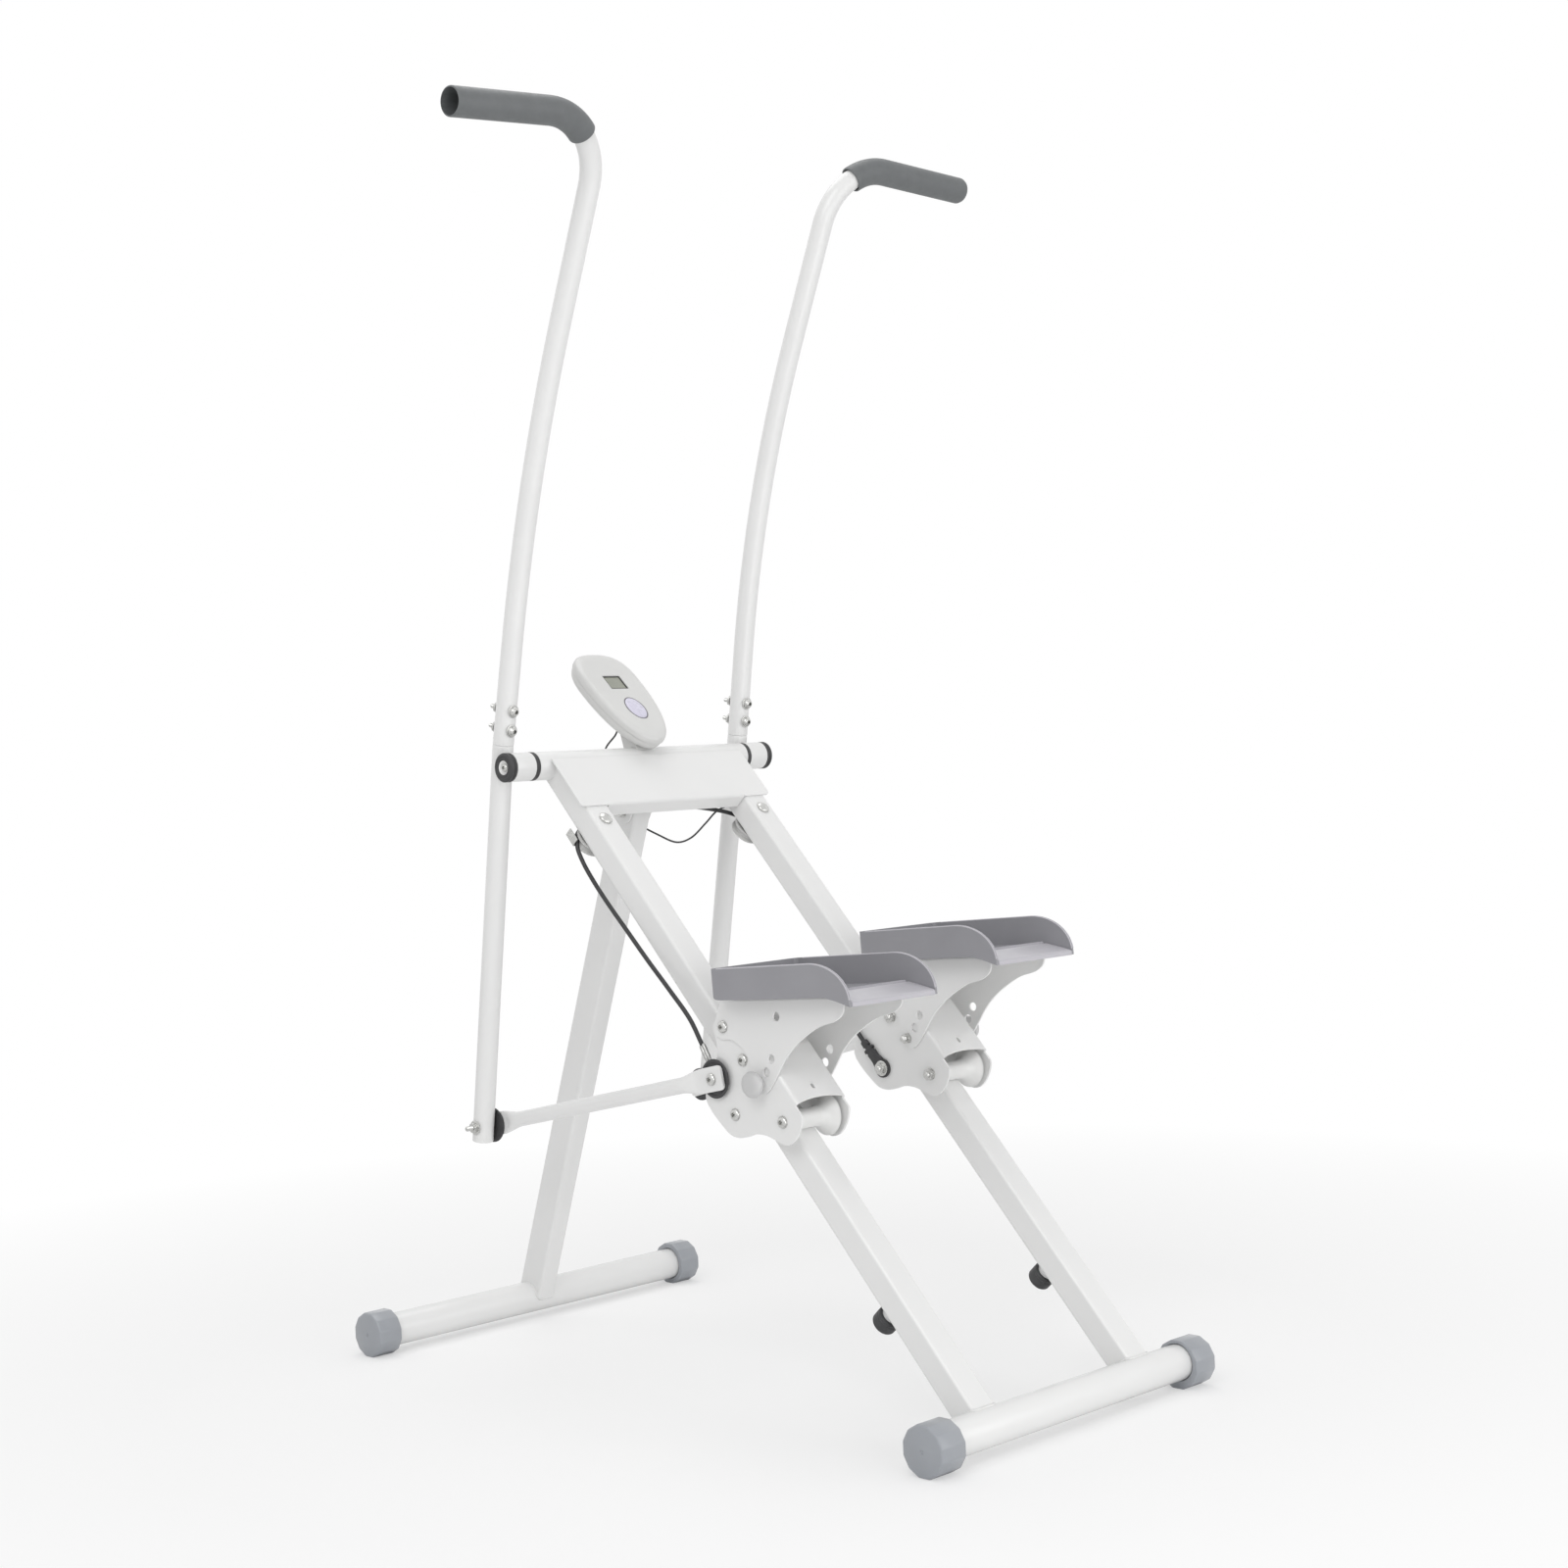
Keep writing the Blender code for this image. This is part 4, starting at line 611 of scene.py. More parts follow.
def add_pan_head(bm, at, out, radius, height=0.0032):
    """A domed head with a six-lobed socket, standing out from a face."""
    profile = [(0.0, radius * 0.9), (0.0002, radius)]
    for k in range(7):
        angle = radians(12 + 60 * k / 6)
        profile.append((height * sin(angle) / sin(radians(72)) * 0.97, radius * cos(angle) ** 0.75))
    profile += [(height * 0.98, star(radius * 0.46)), (height * 0.12, star(radius * 0.42))]
    profile += [(height * 0.06, radius * 0.06)]
    spin(bm, at, out, profile, 48)


def add_nut(bm, at, out, apothem, height, tail, shank=BOLT_RADIUS):
    """A chamfered hexagon nut with the bolt's threaded end through it."""
    low = hexagon(apothem, apothem / cos(pi / 6) - 0.0006)
    full = hexagon(apothem)
    profile = [(0.0, shank * 0.7), (0.0, low), (0.0005, full), (height - 0.0006, full), (height, low)]
    profile += [(height, shank * 1.02), (height - 0.0004, shank * 0.92)]
    spin(bm, at, out, profile, 48)
    pitch = 0.0010
    thread = [(height - 0.002, shank * 0.8)]
    along = height - 0.001
    while along < height + tail - pitch:
        thread += [(along, shank * 0.84), (along + pitch * 0.5, shank * 0.96)]
        along += pitch
    thread += [(height + tail - 0.0006, shank * 0.84), (height + tail, shank * 0.66)]
    spin(bm, at, out, thread, 24)


def add_through_bolt(bm, head_at, nut_at, washer=0.008, head=0.0066, shank=BOLT_RADIUS, tail=0.003,
                     head_height=0.0032):
    """A bolt with a domed head at one end and a washer, a nut and its thread at the other."""
    along = (nut_at - head_at).normalized()
    thick = 0.0011
    nut_height = 0.0050
    add_washer(bm, head_at, -along, washer, thick, shank * 0.9)
    add_pan_head(bm, head_at - along * thick, -along, head, head_height)
    sweep(bm, [head_at, nut_at], [shank, shank], count=24)
    add_washer(bm, nut_at, along, washer, thick, shank * 0.9)
    add_nut(bm, nut_at + along * thick, along, head * 0.93, nut_height, tail, shank)


# Fixed frame

def build_crossbar():
    bar = ring_profile(-BAR_HALF, BAR_HALF, BAR_BORE, BAR_RADIUS)
    turned("crossbar_look", POWDER, "frame", BAR, X_AXIS, bar, 0.0006)
    seat = CAP_OUT - 0.004 + GAP
    half = ring_profile(0.150, 0.186, SHAFT_RADIUS, BAR_BORE - GAP)
    half += [(SLEEVE_OUT, SHAFT_RADIUS), (SLEEVE_OUT, 0.0034), (seat, 0.0034)]
    bm = bmesh.new()
    spin(bm, BAR, X_AXIS, mirrored(half) + half)
    for sign in SIDES.values():
        add_pan_head(bm, BAR + X_AXIS * sign * seat, X_AXIS * sign, 0.0054, 0.0030)
    piece("pivot_shaft_look", bm, ZINC, "frame")
    for side in SIDES:
        build_pivot(side)


def build_pivot(side):
    """The bush, the end cap and the white dish in the cap at one end of the crossbar."""
    out = X_AXIS * SIDES[side]
    bore = SHAFT_RADIUS + GAP
    barrel = SLEEVE_BORE - GAP
    flange_in = BAR_HALF + GAP
    flange_out = SLEEVE_IN - GAP
    bush = [(flange_in, bore), (flange_in, BAR_RADIUS), (flange_out, BAR_RADIUS), (flange_out, barrel)]
    bush += [(0.206, barrel), (0.206, bore)]
    turned("pivot_bush_look_" + side, RUBBER, "frame", BAR, out, bush, 0.0007, count=64)
    ring = BAR_RADIUS + 0.0002
    cap = [(0.2125, bore), (0.2125, barrel)]
    cap += shifted(SLEEVE_OUT + GAP, [(0.0, barrel), (0.0, ring - 0.0008), (0.0006, ring), (0.0034, ring),
                                      (0.0042, ring - 0.0016), (0.0050, ring)])
    cap += shifted(CAP_OUT, [(-0.0022, ring), (-0.0002, ring - 0.0024), (0.0, 0.0152), (-0.0007, 0.0146),
                             (-0.0007, 0.0124), (0.0, 0.0118), (0.0, 0.0102), (-0.0006, 0.0097),
                             (-0.0060, 0.0096), (-0.0060, bore)])
    turned("pivot_end_cap_look_" + side, RUBBER, "frame", BAR, out, cap, 0.0003, 2)
    dish = [(-0.0058, 0.0030), (-0.0058, 0.0094), (-0.0008, 0.0094), (-0.0010, 0.0087), (-0.0030, 0.0072),
            (-0.0040, 0.0064), (-0.0040, 0.0030)]
    turned("pivot_dish_" + side, POWDER, "frame", BAR, out, shifted(CAP_OUT, dish), 0.0005, count=64)


def add_rail_bead(bm, x, grow, centre, radius, way, bead):
    """The weld where a rail's outline, a little grown or shrunk, meets a round tube across it."""
    points = []
    for a, h in smooth(rounded_box(RAIL_WIDTH + grow, RAIL_DEPTH + grow, 0.0052, 8), 3, closed=True):
        off = h - centre[1]
        t = centre[0] - way * sqrt(max(radius * radius - off * off, 1e-8))
        points.append(rail_point(x + a, t, h))
    add_bead(bm, points, bead)


def build_rails():
    foot = Vector((0, *REAR_FOOT))
    foot_place = ((foot - BAR).dot(DOWN), (foot - BAR).dot(ABOVE))
    for side, sign in SIDES.items():
        x = sign * RAIL_X
        ends = (rail_point(x, -0.004, 0), rail_point(x, RAIL_LENGTH, 0))
        rail = box_tube("rail_look_" + side, ends, ABOVE, RAIL_WIDTH, RAIL_DEPTH, 0.0050, 0.0030)
        centre = Vector((x, 0, 0))
        drill(rail, *across(centre + BAR, 0.04), BAR_RADIUS + COPE_GAP, 72)
        drill(rail, *across(centre + foot, 0.04), FOOT_RADIUS + COPE_GAP, 72)
        drill(rail, rail_point(x, PULLEY_T, -0.03), rail_point(x, PULLEY_T, 0.03), BORE)
        finish(rail, POWDER, "frame", crease=50)
        stub = [(0.0, 0.004), (0.0, 0.0128), (0.0012, 0.0117), (0.0095, 0.0115), (0.0095, 0.004)]
        seat = rail_point(x, BUMPER_T, -RAIL_DEPTH / 2 + 0.0006)
        turned("bumper_stub_" + side, POWDER, "frame", seat, -ABOVE, stub, 0.0006, 2, 48, wrap=False)
        bm = bmesh.new()
        add_rail_bead(bm, x, 0.0006, foot_place, FOOT_RADIUS, 1.0, 0.0020)
        add_rail_bead(bm, x, -0.0016, (0.0, 0.0), BAR_RADIUS, -1.0, 0.0014)
        piece("rail_weld_" + side, bm, WELD, "frame", crease=80)
        build_axle(side, x)
        build_guard(side, sign)


def build_axle(side, x):
    bm = bmesh.new()
    head = rail_point(x, PULLEY_T, RAIL_DEPTH / 2 + GAP)
    nut = rail_point(x, PULLEY_T, -0.0341)
    thick = 0.0010
    radius = 0.0088
    add_washer(bm, head, ABOVE, 0.0095, thick)
    angles = [radians(a) for a in range(6, 84, 8)]
    dome = [(thick, radius)] + [(thick + 0.0034 * sin(angle), radius * cos(angle)) for angle in angles]
    spin(bm, head, ABOVE, dome + [(0.0044, 0.0006)], 48)
    sweep(bm, [head, nut], [BOLT_RADIUS, BOLT_RADIUS], count=24)
    add_washer(bm, nut, -ABOVE, 0.0085, thick)
    add_nut(bm, nut - ABOVE * thick, -ABOVE, 0.0066, 0.0050, 0.002)
    piece("pulley_axle_look_" + side, bm, ZINC, "frame")


def build_guard(side, sign):
    """The small angle under the pulley that keeps the cable in its groove."""
    plate = PULLEY_H - PULLEY_HALF - GAP
    turned_up = PULLEY_H + 0.0055
    bend = (0.0237, plate + 0.0008)
    shape = [(-0.010, plate - 0.0017)] + arc_points(bend, 0.0025, 270, 360, 5)
    shape += [(0.0262, turned_up), (0.0245, turned_up)] + arc_points(bend, 0.0008, 360, 270, 3)
    shape += [(-0.010, plate)]
    corners = [rail_point(sign * (RAIL_X + x), PULLEY_T - 0.020, h) for x, h in shape]
    guard = prism("cable_guard_look_" + side, corners, DOWN * 0.020)
    finish(guard, ZINC, "frame", node="", edge=0.0004)


def build_cover():
    base = RAIL_DEPTH / 2 + GAP
    top = base + COVER_SHEET
    radius = 0.007
    flat = [(-COVER_HALF, COVER_TOP_T)]
    flat += arc_points((-COVER_HALF + radius, COVER_END_T - radius), radius, 180, 90, 8)
    flat += arc_points((COVER_HALF - radius, COVER_END_T - radius), radius, 90, 0, 8)
    flat += [(COVER_HALF, COVER_TOP_T)]
    cover = prism("cover_look", [rail_point(x, t, base) for x, t in flat], ABOVE * COVER_SHEET)
    lip_half = RAIL_X - RAIL_WIDTH / 2 - 0.0012
    bend = 0.0040
    centre = (COVER_END_T - bend, top - bend)
    lip = [(COVER_END_T - 0.008, base + 0.0001)] + arc_points(centre, bend - COVER_SHEET, 90, 0, 5)
    lip += [(COVER_END_T - COVER_SHEET, top - LIP_DEPTH), (COVER_END_T, top - LIP_DEPTH)]
    lip += arc_points(centre, bend, 0, 90, 6) + [(COVER_END_T - 0.008, top)]
    notch = [(COVER_END_T - 0.004, base - 0.002), (COVER_END_T + 0.002, base - 0.002)]
    notch += [(COVER_END_T + 0.002, top + 0.002), (COVER_END_T - 0.004, top + 0.002)]
    start = rail_point(-lip_half, 0, 0) - rail_point(0, 0, 0)
    for shape, operation in ((notch, "DIFFERENCE"), (lip, "UNION")):
        corners = [rail_point(0, t, h) + start for t, h in shape]
        cut(cover, prism("lip", corners, X_AXIS * 2 * lip_half), operation)
    finish(cover, POWDER, "frame", node="cover_plate", edge=0.0005)


def build_pulleys():
    half = [(0.0018, PULLEY_GROOVE), (0.0030, PULLEY_GROOVE + 0.0008), (0.0045, PULLEY_RADIUS)]
    half += [(PULLEY_HALF, PULLEY_RADIUS), (PULLEY_HALF, 0.0178), (0.0045, 0.0165), (0.0045, 0.0105)]
    half += [(PULLEY_HALF, 0.0095), (PULLEY_HALF, BORE)]
    profile = mirrored(half) + half
    for side, sign in SIDES.items():
        body = side + "_pulley"
        centre = rail_point(sign * RAIL_X, PULLEY_T, PULLEY_H)
        turned("pulley_look_" + side, PULLEY, body, centre, ABOVE, profile, 0.0004, 2, 64, crease=50)


def build_bumpers():
    full = BUMPER_RADIUS
    profile = [(0.0, 0.0060), (0.0, full - 0.0012), (0.0012, full), (0.0040, full), (0.0046, full - 0.0007),
               (0.0052, full), (0.0165, full - 0.0002), (0.0186, full - 0.0016), (0.0193, full - 0.0040),
               (0.0193, 0.0060), (0.0150, 0.0054), (0.0150, 0.0008)]
    for side, sign in SIDES.items():
        seat = rail_point(sign * RAIL_X, BUMPER_T, BUMPER_SEAT - GAP)
        turned("bumper_look_" + side, RUBBER, "frame", seat, -ABOVE, profile, 0.0005, 2, 56, wrap=False)


def build_leg_hinge():
    flange_out = LEG_WIDTH / 2 + 0.0005 + SHEET
    shape = [(-0.0195, -0.008), (-0.0195, -0.050)]
    shape += arc_points((LEG_PIVOT[0] - BAR_Y, LEG_PIVOT[1] - BAR_Z), 0.018, 200, 350, 20)
    shape += [(0.026, -0.030), (0.0185, -0.008)]
    bracket = bar_prism("leg_hinge_look", flange_out, shape)
    slot = [(-0.0165, -0.0235), (-0.0165, -0.0480), (-0.040, -0.0480), (-0.040, -0.100), (0.060, -0.100),
            (0.060, -0.0235)]
    cut(bracket, bar_prism("slot", flange_out - SHEET, slot))
    drill(bracket, *across(BAR, 0.04), BAR_RADIUS + COPE_GAP, 72)
    finish(bracket, POWDER, "frame", node="leg_hinge_bracket", edge=0.0005)
    left_end, right_end = across(Vector((0, *LEG_PIVOT)), flange_out + GAP)
    bm = bmesh.new()
    add_through_bolt(bm, right_end, left_end, washer=0.0095, head=0.0078, shank=LEG_BOLT)
    piece("leg_hinge_bolt_look", bm, ZINC, "frame")


def foot_tube(name, foot, half, body):
    end = half - CAP_WALL - GAP
    tube = ring_profile(-end, end, FOOT_BORE, FOOT_RADIUS)
    turned(name + "_look", POWDER, body, Vector((0, *foot)), X_AXIS, tube, 0.0005, 2, node=name + "_tube")


def cap_outline(shrink):
    """The many-sided outline of a foot cap, with rounded corners."""
    turn = pi / CAP_SIDES
    radius = CAP_APOTHEM / cos(turn) - shrink
    points = []
    for k in range(CAP_SIDES):
        angle = turn + 2 * pi * k / CAP_SIDES
        angles = (angle - 2 * turn, angle, angle + 2 * turn)
        before, here, after = [Vector((radius * cos(a), radius * sin(a))) for a in angles]
        points += corner_points(here, before - here, after - here, CAP_CORNER, (0.0, 0.33, 0.67, 1.0))
    return points


def foot_cap(name, side, foot, half, length, offset, body):
    """A twelve-sided moulded cap with a round socket and a gate mark in its end."""
    out = X_AXIS * SIDES[side]
    middle = Vector((0, foot[0], foot[1] - offset))
    axis = Vector((0, *foot))
    inner = half - length
    steps = shifted(inner, [(0.0, 0.0012), (0.0004, 0.0004), (0.0012, 0.0)])
    steps += shifted(half, [(-0.0030, 0.0), (-0.0016, 0.0004), (-0.0006, 0.0012), (0.0, 0.0026)])
    fore, up = Vector((0, 1, 0)), Vector((0, 0, 1))
    rings = [place(cap_outline(shrink), middle + out * a, fore, up) for a, shrink in steps]
    cap = lofted(f"{name}_look_{side}", rings)
    drill(cap, axis + out * (inner - 0.01), axis + out * (half - CAP_WALL), FOOT_RADIUS + GAP, 72)
    mouth = bmesh.new()
    spin(mouth, axis + out * (inner - 0.001), out, [(0.0, FOOT_RADIUS + 0.0022), (0.0030, FOOT_RADIUS)], 72)
    cut(cap, raw("mouth", mouth))
    gate = bmesh.new()
    spin(gate, middle + out * (half + 0.001), -out, [(0.0, 0.0030), (0.0016, 0.0022)], 32)
    cut(cap, raw("gate", gate))
    finish(cap, CAP, body, crease=50)
    bm = bmesh.new()
    spin(bm, middle + out * (half - 0.0007), out, [(0.0, 0.0016), (0.0005, 0.0013), (0.0007, 0.0006)], 24)
    piece(f"{name}_look_{side}_gate", bm, CAP, body, node="")


def build_feet():
    foot_tube("rear_foot", REAR_FOOT, REAR_HALF, "frame")
    foot_tube("front_foot", FRONT_FOOT, FRONT_HALF, "folding_leg")
    for side in SIDES:
        foot_cap("front_cap", side, FRONT_FOOT, FRONT_HALF, FRONT_CAP_LENGTH, 0.0, "folding_leg")
        foot_cap("rear_cap", side, REAR_FOOT, REAR_HALF, REAR_CAP_LENGTH, REAR_CAP_OFFSET, side + "_rear_cap")


def build_leg():
    pivot = Vector((0, *LEG_PIVOT))
    foot = Vector((0, *FRONT_FOOT))
    along = (foot - pivot).normalized()
    fore = X_AXIS.cross(along).normalized()
    ends = (pivot - along * LEG_ABOVE_PIVOT, foot - along * 0.006)
    leg = box_tube("leg_look", ends, fore, LEG_WIDTH, LEG_DEPTH, 0.0045, 0.0025)
    drill(leg, *across(foot, 0.03), FOOT_RADIUS + COPE_GAP, 72)
    drill(leg, *across(pivot, 0.03), LEG_BOLT + GAP)
    finish(leg, POWDER, "folding_leg", node="leg_tube", crease=50)
    points = []
    outline = rounded_box(LEG_WIDTH + 0.0004, 2 * (FOOT_RADIUS - 0.0012), 0.0048, 8)
    for a, b in smooth(outline, 3, closed=True):
        lift = sqrt(max(FOOT_RADIUS ** 2 - b * b, 1e-8))
        points.append(foot - along * lift + X_AXIS * a + fore * b)
    bm = bmesh.new()
    add_bead(bm, points, 0.0021)
    piece("leg_weld", bm, WELD, "folding_leg", crease=80)


# Carriages

# Side outline of a carriage's plates, from the lower end of the flat bridge round to its upper end
CARRIAGE_OUTLINE = [
    (0.623, BRIDGE_TOP), (0.637, 0.057), (0.645, 0.04), (0.6455, 0.024), (0.64, 0.014), (0.627, 0.006),
    (0.613, -0.0025), (0.601, -0.015), (0.593, -0.031), (0.585, -0.043), (0.575, -0.051), (0.564, -0.0545),
    (0.514, -0.055), (0.503, -0.033), (0.496, -0.015), (0.488, 0.001), (0.473, 0.012), (0.46, 0.018),
    (0.456, 0.033), (0.46, 0.047), (0.472, 0.0545), (0.505, 0.057), (0.535, BRIDGE_TOP),
]


def channel(half, top, low, wall, bend, steps=6):
    """Cross-section of a sheet folded down at both sides, with rounded bends."""
    left = (-half + bend, top - bend)
    right = (half - bend, top - bend)
    outer = [(-half, low)] + arc_points(left, bend, 180, 90, steps)
    outer += arc_points(right, bend, 90, 0, steps) + [(half, low)]
    inner = [(half - wall, low)] + arc_points(right, bend - wall, 0, 90, steps)
    inner += arc_points(left, bend - wall, 90, 180, steps) + [(-half + wall, low)]
    return outer + inner


def build_carriage(side):
    sign = SIDES[side]
    body = side + "_carriage"
    outer = RAIL_X + CARRIAGE_HALF
    inner = RAIL_X - CARRIAGE_HALF
    section = channel(CARRIAGE_HALF, BRIDGE_TOP, -0.060, SHEET, 0.0055)
    rings = [[carriage_point(side, RAIL_X + x, (t, h)) for x, h in section] for t in (0.445, 0.655)]
    sheet = lofted("carriage_look_" + side, rings)
    corners = [carriage_point(side, inner - 0.002, p) for p in smooth(CARRIAGE_OUTLINE, 5)]
    cut(sheet, prism("outline", corners, Vector((sign * (outer - inner + 0.004), 0, 0))), "INTERSECT")
    arch_radius = 0.150
    arch_t = 0.6120 + arch_radius
    ends = [carriage_point(side, RAIL_X, (arch_t, BRIDGE_TOP + h)) for h in (-0.0058, 0.01)]
    drill(sheet, *ends, arch_radius, 256)
    slot = rounded_box(0.0045, 0.0085, 0.0021, 5)
    corners = [carriage_point(side, RAIL_X + 0.001 + a, (0.5965 + b, BRIDGE_TOP - 0.01)) for a, b in slot]
    cut(sheet, prism("slot", corners, ABOVE * 0.02))
    for spot in (PEDAL_PIVOT, KNOB_AXIS):
        drill(sheet, *[carriage_point(side, x, spot) for x in (inner - 0.01, outer + 0.01)], BORE)
    finish(sheet, POWDER, body, edge=0.0006)
    bm = bmesh.new()
    for spot in (UPPER_ROLLER, LOWER_ROLLER, UNDER_ROLLER):
        under_lug = 0.0040 if (spot == UNDER_ROLLER and side == "right") else 0.0
        wide = 0.0102 if under_lug else 0.0080
        add_through_bolt(bm, carriage_point(side, outer, spot), carriage_point(side, inner - under_lug, spot),
                         washer=wide, head=0.0074)
    link_out = LINK_X + LINK_SHEET / 2 + GAP
    add_through_bolt(bm, *[carriage_point(side, x, LINK_PIVOT) for x in (link_out, outer - SHEET)],
                     washer=0.0078, head=0.0074, tail=0.001)
    piece("carriage_bolts_" + side, bm, ZINC, body)
    build_rollers(side)
    near, far = BRACKET_EDGES[side]
    bm = bmesh.new()
    ends = [carriage_point(side, x, PEDAL_PIVOT) for x in (far + GAP, near - GAP)]
    add_through_bolt(bm, *ends, head=0.0074)
    piece("pedal_pivot_bolt_look_" + side, bm, ZINC, body)


def build_rollers(side):
    """The two waisted rollers over the rail and the plain one under it."""
    halves = []
    for end in (ROLLER_NEAR, ROLLER_FAR):
        flare = [(0.32, 0.0), (0.52, 0.0006), (0.71, 0.0040), (0.86, 0.0088)]
        flare = [(end * share, ROLLER_WAIST + rise) for share, rise in flare]
        flare += [(end * 0.96, ROLLER_FLANGE - 0.0016), (end - 0.0004, ROLLER_FLANGE)]
        rim = [(end, ROLLER_FLANGE - 0.0006), (end, 0.0215), (end - 0.0022, 0.0200), (end - 0.0022, 0.0110)]
        rim += [(end, 0.0098), (end, BORE)]
        halves.append([tuple(p) for p in smooth(flare, 4)] + rim)
    profile = mirrored(halves[0]) + halves[1]
    for name, spot in (("upper_roller", UPPER_ROLLER), ("lower_roller", LOWER_ROLLER)):
        bm = bmesh.new()
        spin(bm, carriage_point(side, RAIL_X, spot), X_AXIS, profile, 72, wrap=True)
        piece(f"{name}_look_{side}", bm, ROLLER, f"{side}_{name}", crease=35)
    plain = ring_profile(-0.0300, 0.0300, BORE, -UNDER_ROLLER[1] - RAIL_DEPTH / 2 - GAP)
    body = side + "_under_roller"
    centre = carriage_point(side, RAIL_X, UNDER_ROLLER)
    turned("under_roller_look_" + side, ROLLER, body, centre, X_AXIS, plain, 0.0008, count=56, crease=50)


def build_cable_ends(side):
    """A crimped lug on the left carriage's outer plate, a moulded eye on the right one's inner plate."""
    out = X_AXIS * SIDES[side]
    if side == "left":
        pivot, face, way, look = LINK_PIVOT, RAIL_X + CARRIAGE_HALF + GAP, 1.0, CRIMP
        start, off, lug_radius = (0.4640, -0.0105), 0.0, 0.0105
    else:
        pivot, face, way, look = UNDER_ROLLER, RAIL_X - CARRIAGE_HALF - GAP, -1.0, RUBBER
        start, off, lug_radius = (0.5150, -0.0273), 0.0018, 0.0125
    middle = face + way * LUG_THICK / 2
    bm = bmesh.new()
    profile = soften(ring_profile(0.0, LUG_THICK, BORE, lug_radius), 0.0009, 3, wrap=True)
    spin(bm, carriage_point(side, face, pivot), out * way, profile, 48, wrap=True)
    centre = carriage_point(side, middle, pivot)
    top = carriage_point(side, middle + way * off, start)
    along = (centre - top).normalized()
    wide = along.cross(out).normalized()
    reach = (centre - top).length - lug_radius + 0.0035
    if side == "left":
        steps = ((0.0, 0.0019), (0.03, 0.0025), (0.10, 0.0027), (0.44, 0.0027), (0.52, 0.0023),
                 (0.58, 0.0014), (0.9, 0.0014), (1.0, 0.0014))
        for shift in (-0.0023, 0.0023):
            path = [top + along * reach * share + wide * shift for share, radius in steps]
            sweep(bm, path, [radius for share, radius in steps], count=24)
    else:
        steps = ((0.00, 0.0036, 0.0030), (0.03, 0.0050, 0.0034), (0.22, 0.0056, 0.0036),
                 (0.24, 0.0040, 0.0030), (0.32, 0.0040, 0.0030), (0.34, 0.0084, 0.0036),
                 (0.42, 0.0086, 0.0036), (0.44, 0.0064, 0.0034), (0.52, 0.0062, 0.0032),
                 (0.54, 0.0076, 0.0032), (0.70, 0.0074, 0.0026), (0.84, 0.0080, 0.0021),
                 (1.00, 0.0096, 0.0017))
        rings = []
        for share, half_wide, half_thick in steps:
            section = rounded_box(2 * half_wide, 2 * half_thick, half_thick * 0.7, 4)
            rings.append(place(section, top + along * reach * share, wide, out))
        loft(bm, rings)
    piece("cable_end_look_" + side, bm, look, side + "_carriage", crease=45)


def side_shift(side):
    """How far a carriage's pieces stand from where they are on the left one."""
    return rail_point(0, CARRIAGE_SHIFT[side], 0) - rail_point(0, 0, 0)


def pedal_web_top(y):
    """Height of the bracket's web under the pedal at a distance y from the bar."""
    toe_y, toe_z = PEDAL_TOE
    return toe_z + (toe_y - BAR_Y - y) * tan(PEDAL_PITCH) - GAP


# Side outline of the left pedal bracket as (y from the bar, z), from the web's rear end round to its front
BRACKET_OUTLINE = [
    (-0.544, pedal_web_top(-0.544) + 0.002), (-0.55, 0.512), (-0.548, 0.501), (-0.535, 0.4915),
    (-0.51, 0.484), (-0.4886, 0.4727), (-0.466, 0.457), (-0.449, 0.44), (-0.4349, 0.42), (-0.4215, 0.403),
    (-0.412, 0.3975), (-0.402, 0.399), (-0.395, 0.408), (-0.3925, 0.428), (-0.385, 0.443), (-0.374, 0.453),
    (-0.359, 0.46), (-0.342, 0.46), (-0.332, 0.465), (-0.329, 0.476), (-0.334, 0.488),
    (-0.344, pedal_web_top(-0.344) + 0.002),
]


def build_bracket(side):
    sign = SIDES[side]
    shift = side_shift(side)
    near, far = BRACKET_EDGES[side]
    middle = (near + far) / 2
    section = channel((far - near) / 2, 0.0, -0.130, BRACKET_SHEET, 0.0050)
    rings = []
    for y in (-0.320, -0.560):
        web = pedal_web_top(y)
        rings.append([Vector((sign * (middle + x), BAR_Y + y, web + h)) + shift for x, h in section])
    bracket = lofted("pedal_bracket_look_" + side, rings)
    outline = smooth(BRACKET_OUTLINE, 5)
    corners = [Vector((sign * (near - 0.002), BAR_Y + y, z)) + shift for y, z in outline]
    cut(bracket, prism("outline", corners, Vector((sign * (far - near + 0.004), 0, 0))), "INTERSECT")
    radius = dist(KNOB_AXIS, PEDAL_PIVOT)
    start = atan2(KNOB_AXIS[1] - PEDAL_PIVOT[1], KNOB_AXIS[0] - PEDAL_PIVOT[0])
    spots = [(PEDAL_PIVOT, 0.0046), ((0.5231, 0.1157), 0.0056)]
    for k in range(3):
        angle = start + k * KNOB_STEP
        spots.append(((PEDAL_PIVOT[0] + radius * cos(angle), PEDAL_PIVOT[1] + radius * sin(angle)), 0.0058))
    for spot, hole in spots:
        drill(bracket, *[carriage_point(side, x, spot) for x in (near - 0.01, far + 0.01)], hole)
    finish(bracket, POWDER, side + "_carriage", edge=0.0006)


def pedal_underside(start, level, high):
    """Side line of the pedal's underside, or of the floor over it, as (rearward, up).

    It starts at the upper end of the rounded toe corner, which is high and twice as long.
    """
    turns = [radians(15 * k) for k in range(7)]
    toe = [(start + 2.0 * high * (1 - cos(angle)), level + high * (1 - sin(angle))) for angle in turns]
    drop = [(0.183, 0.0), (0.189, 0.0006), (0.196, 0.0024), (0.207, 0.0050), (PEDAL_LENGTH, 0.0118)]
    return toe + [(p, level - fall) for p, fall in drop]


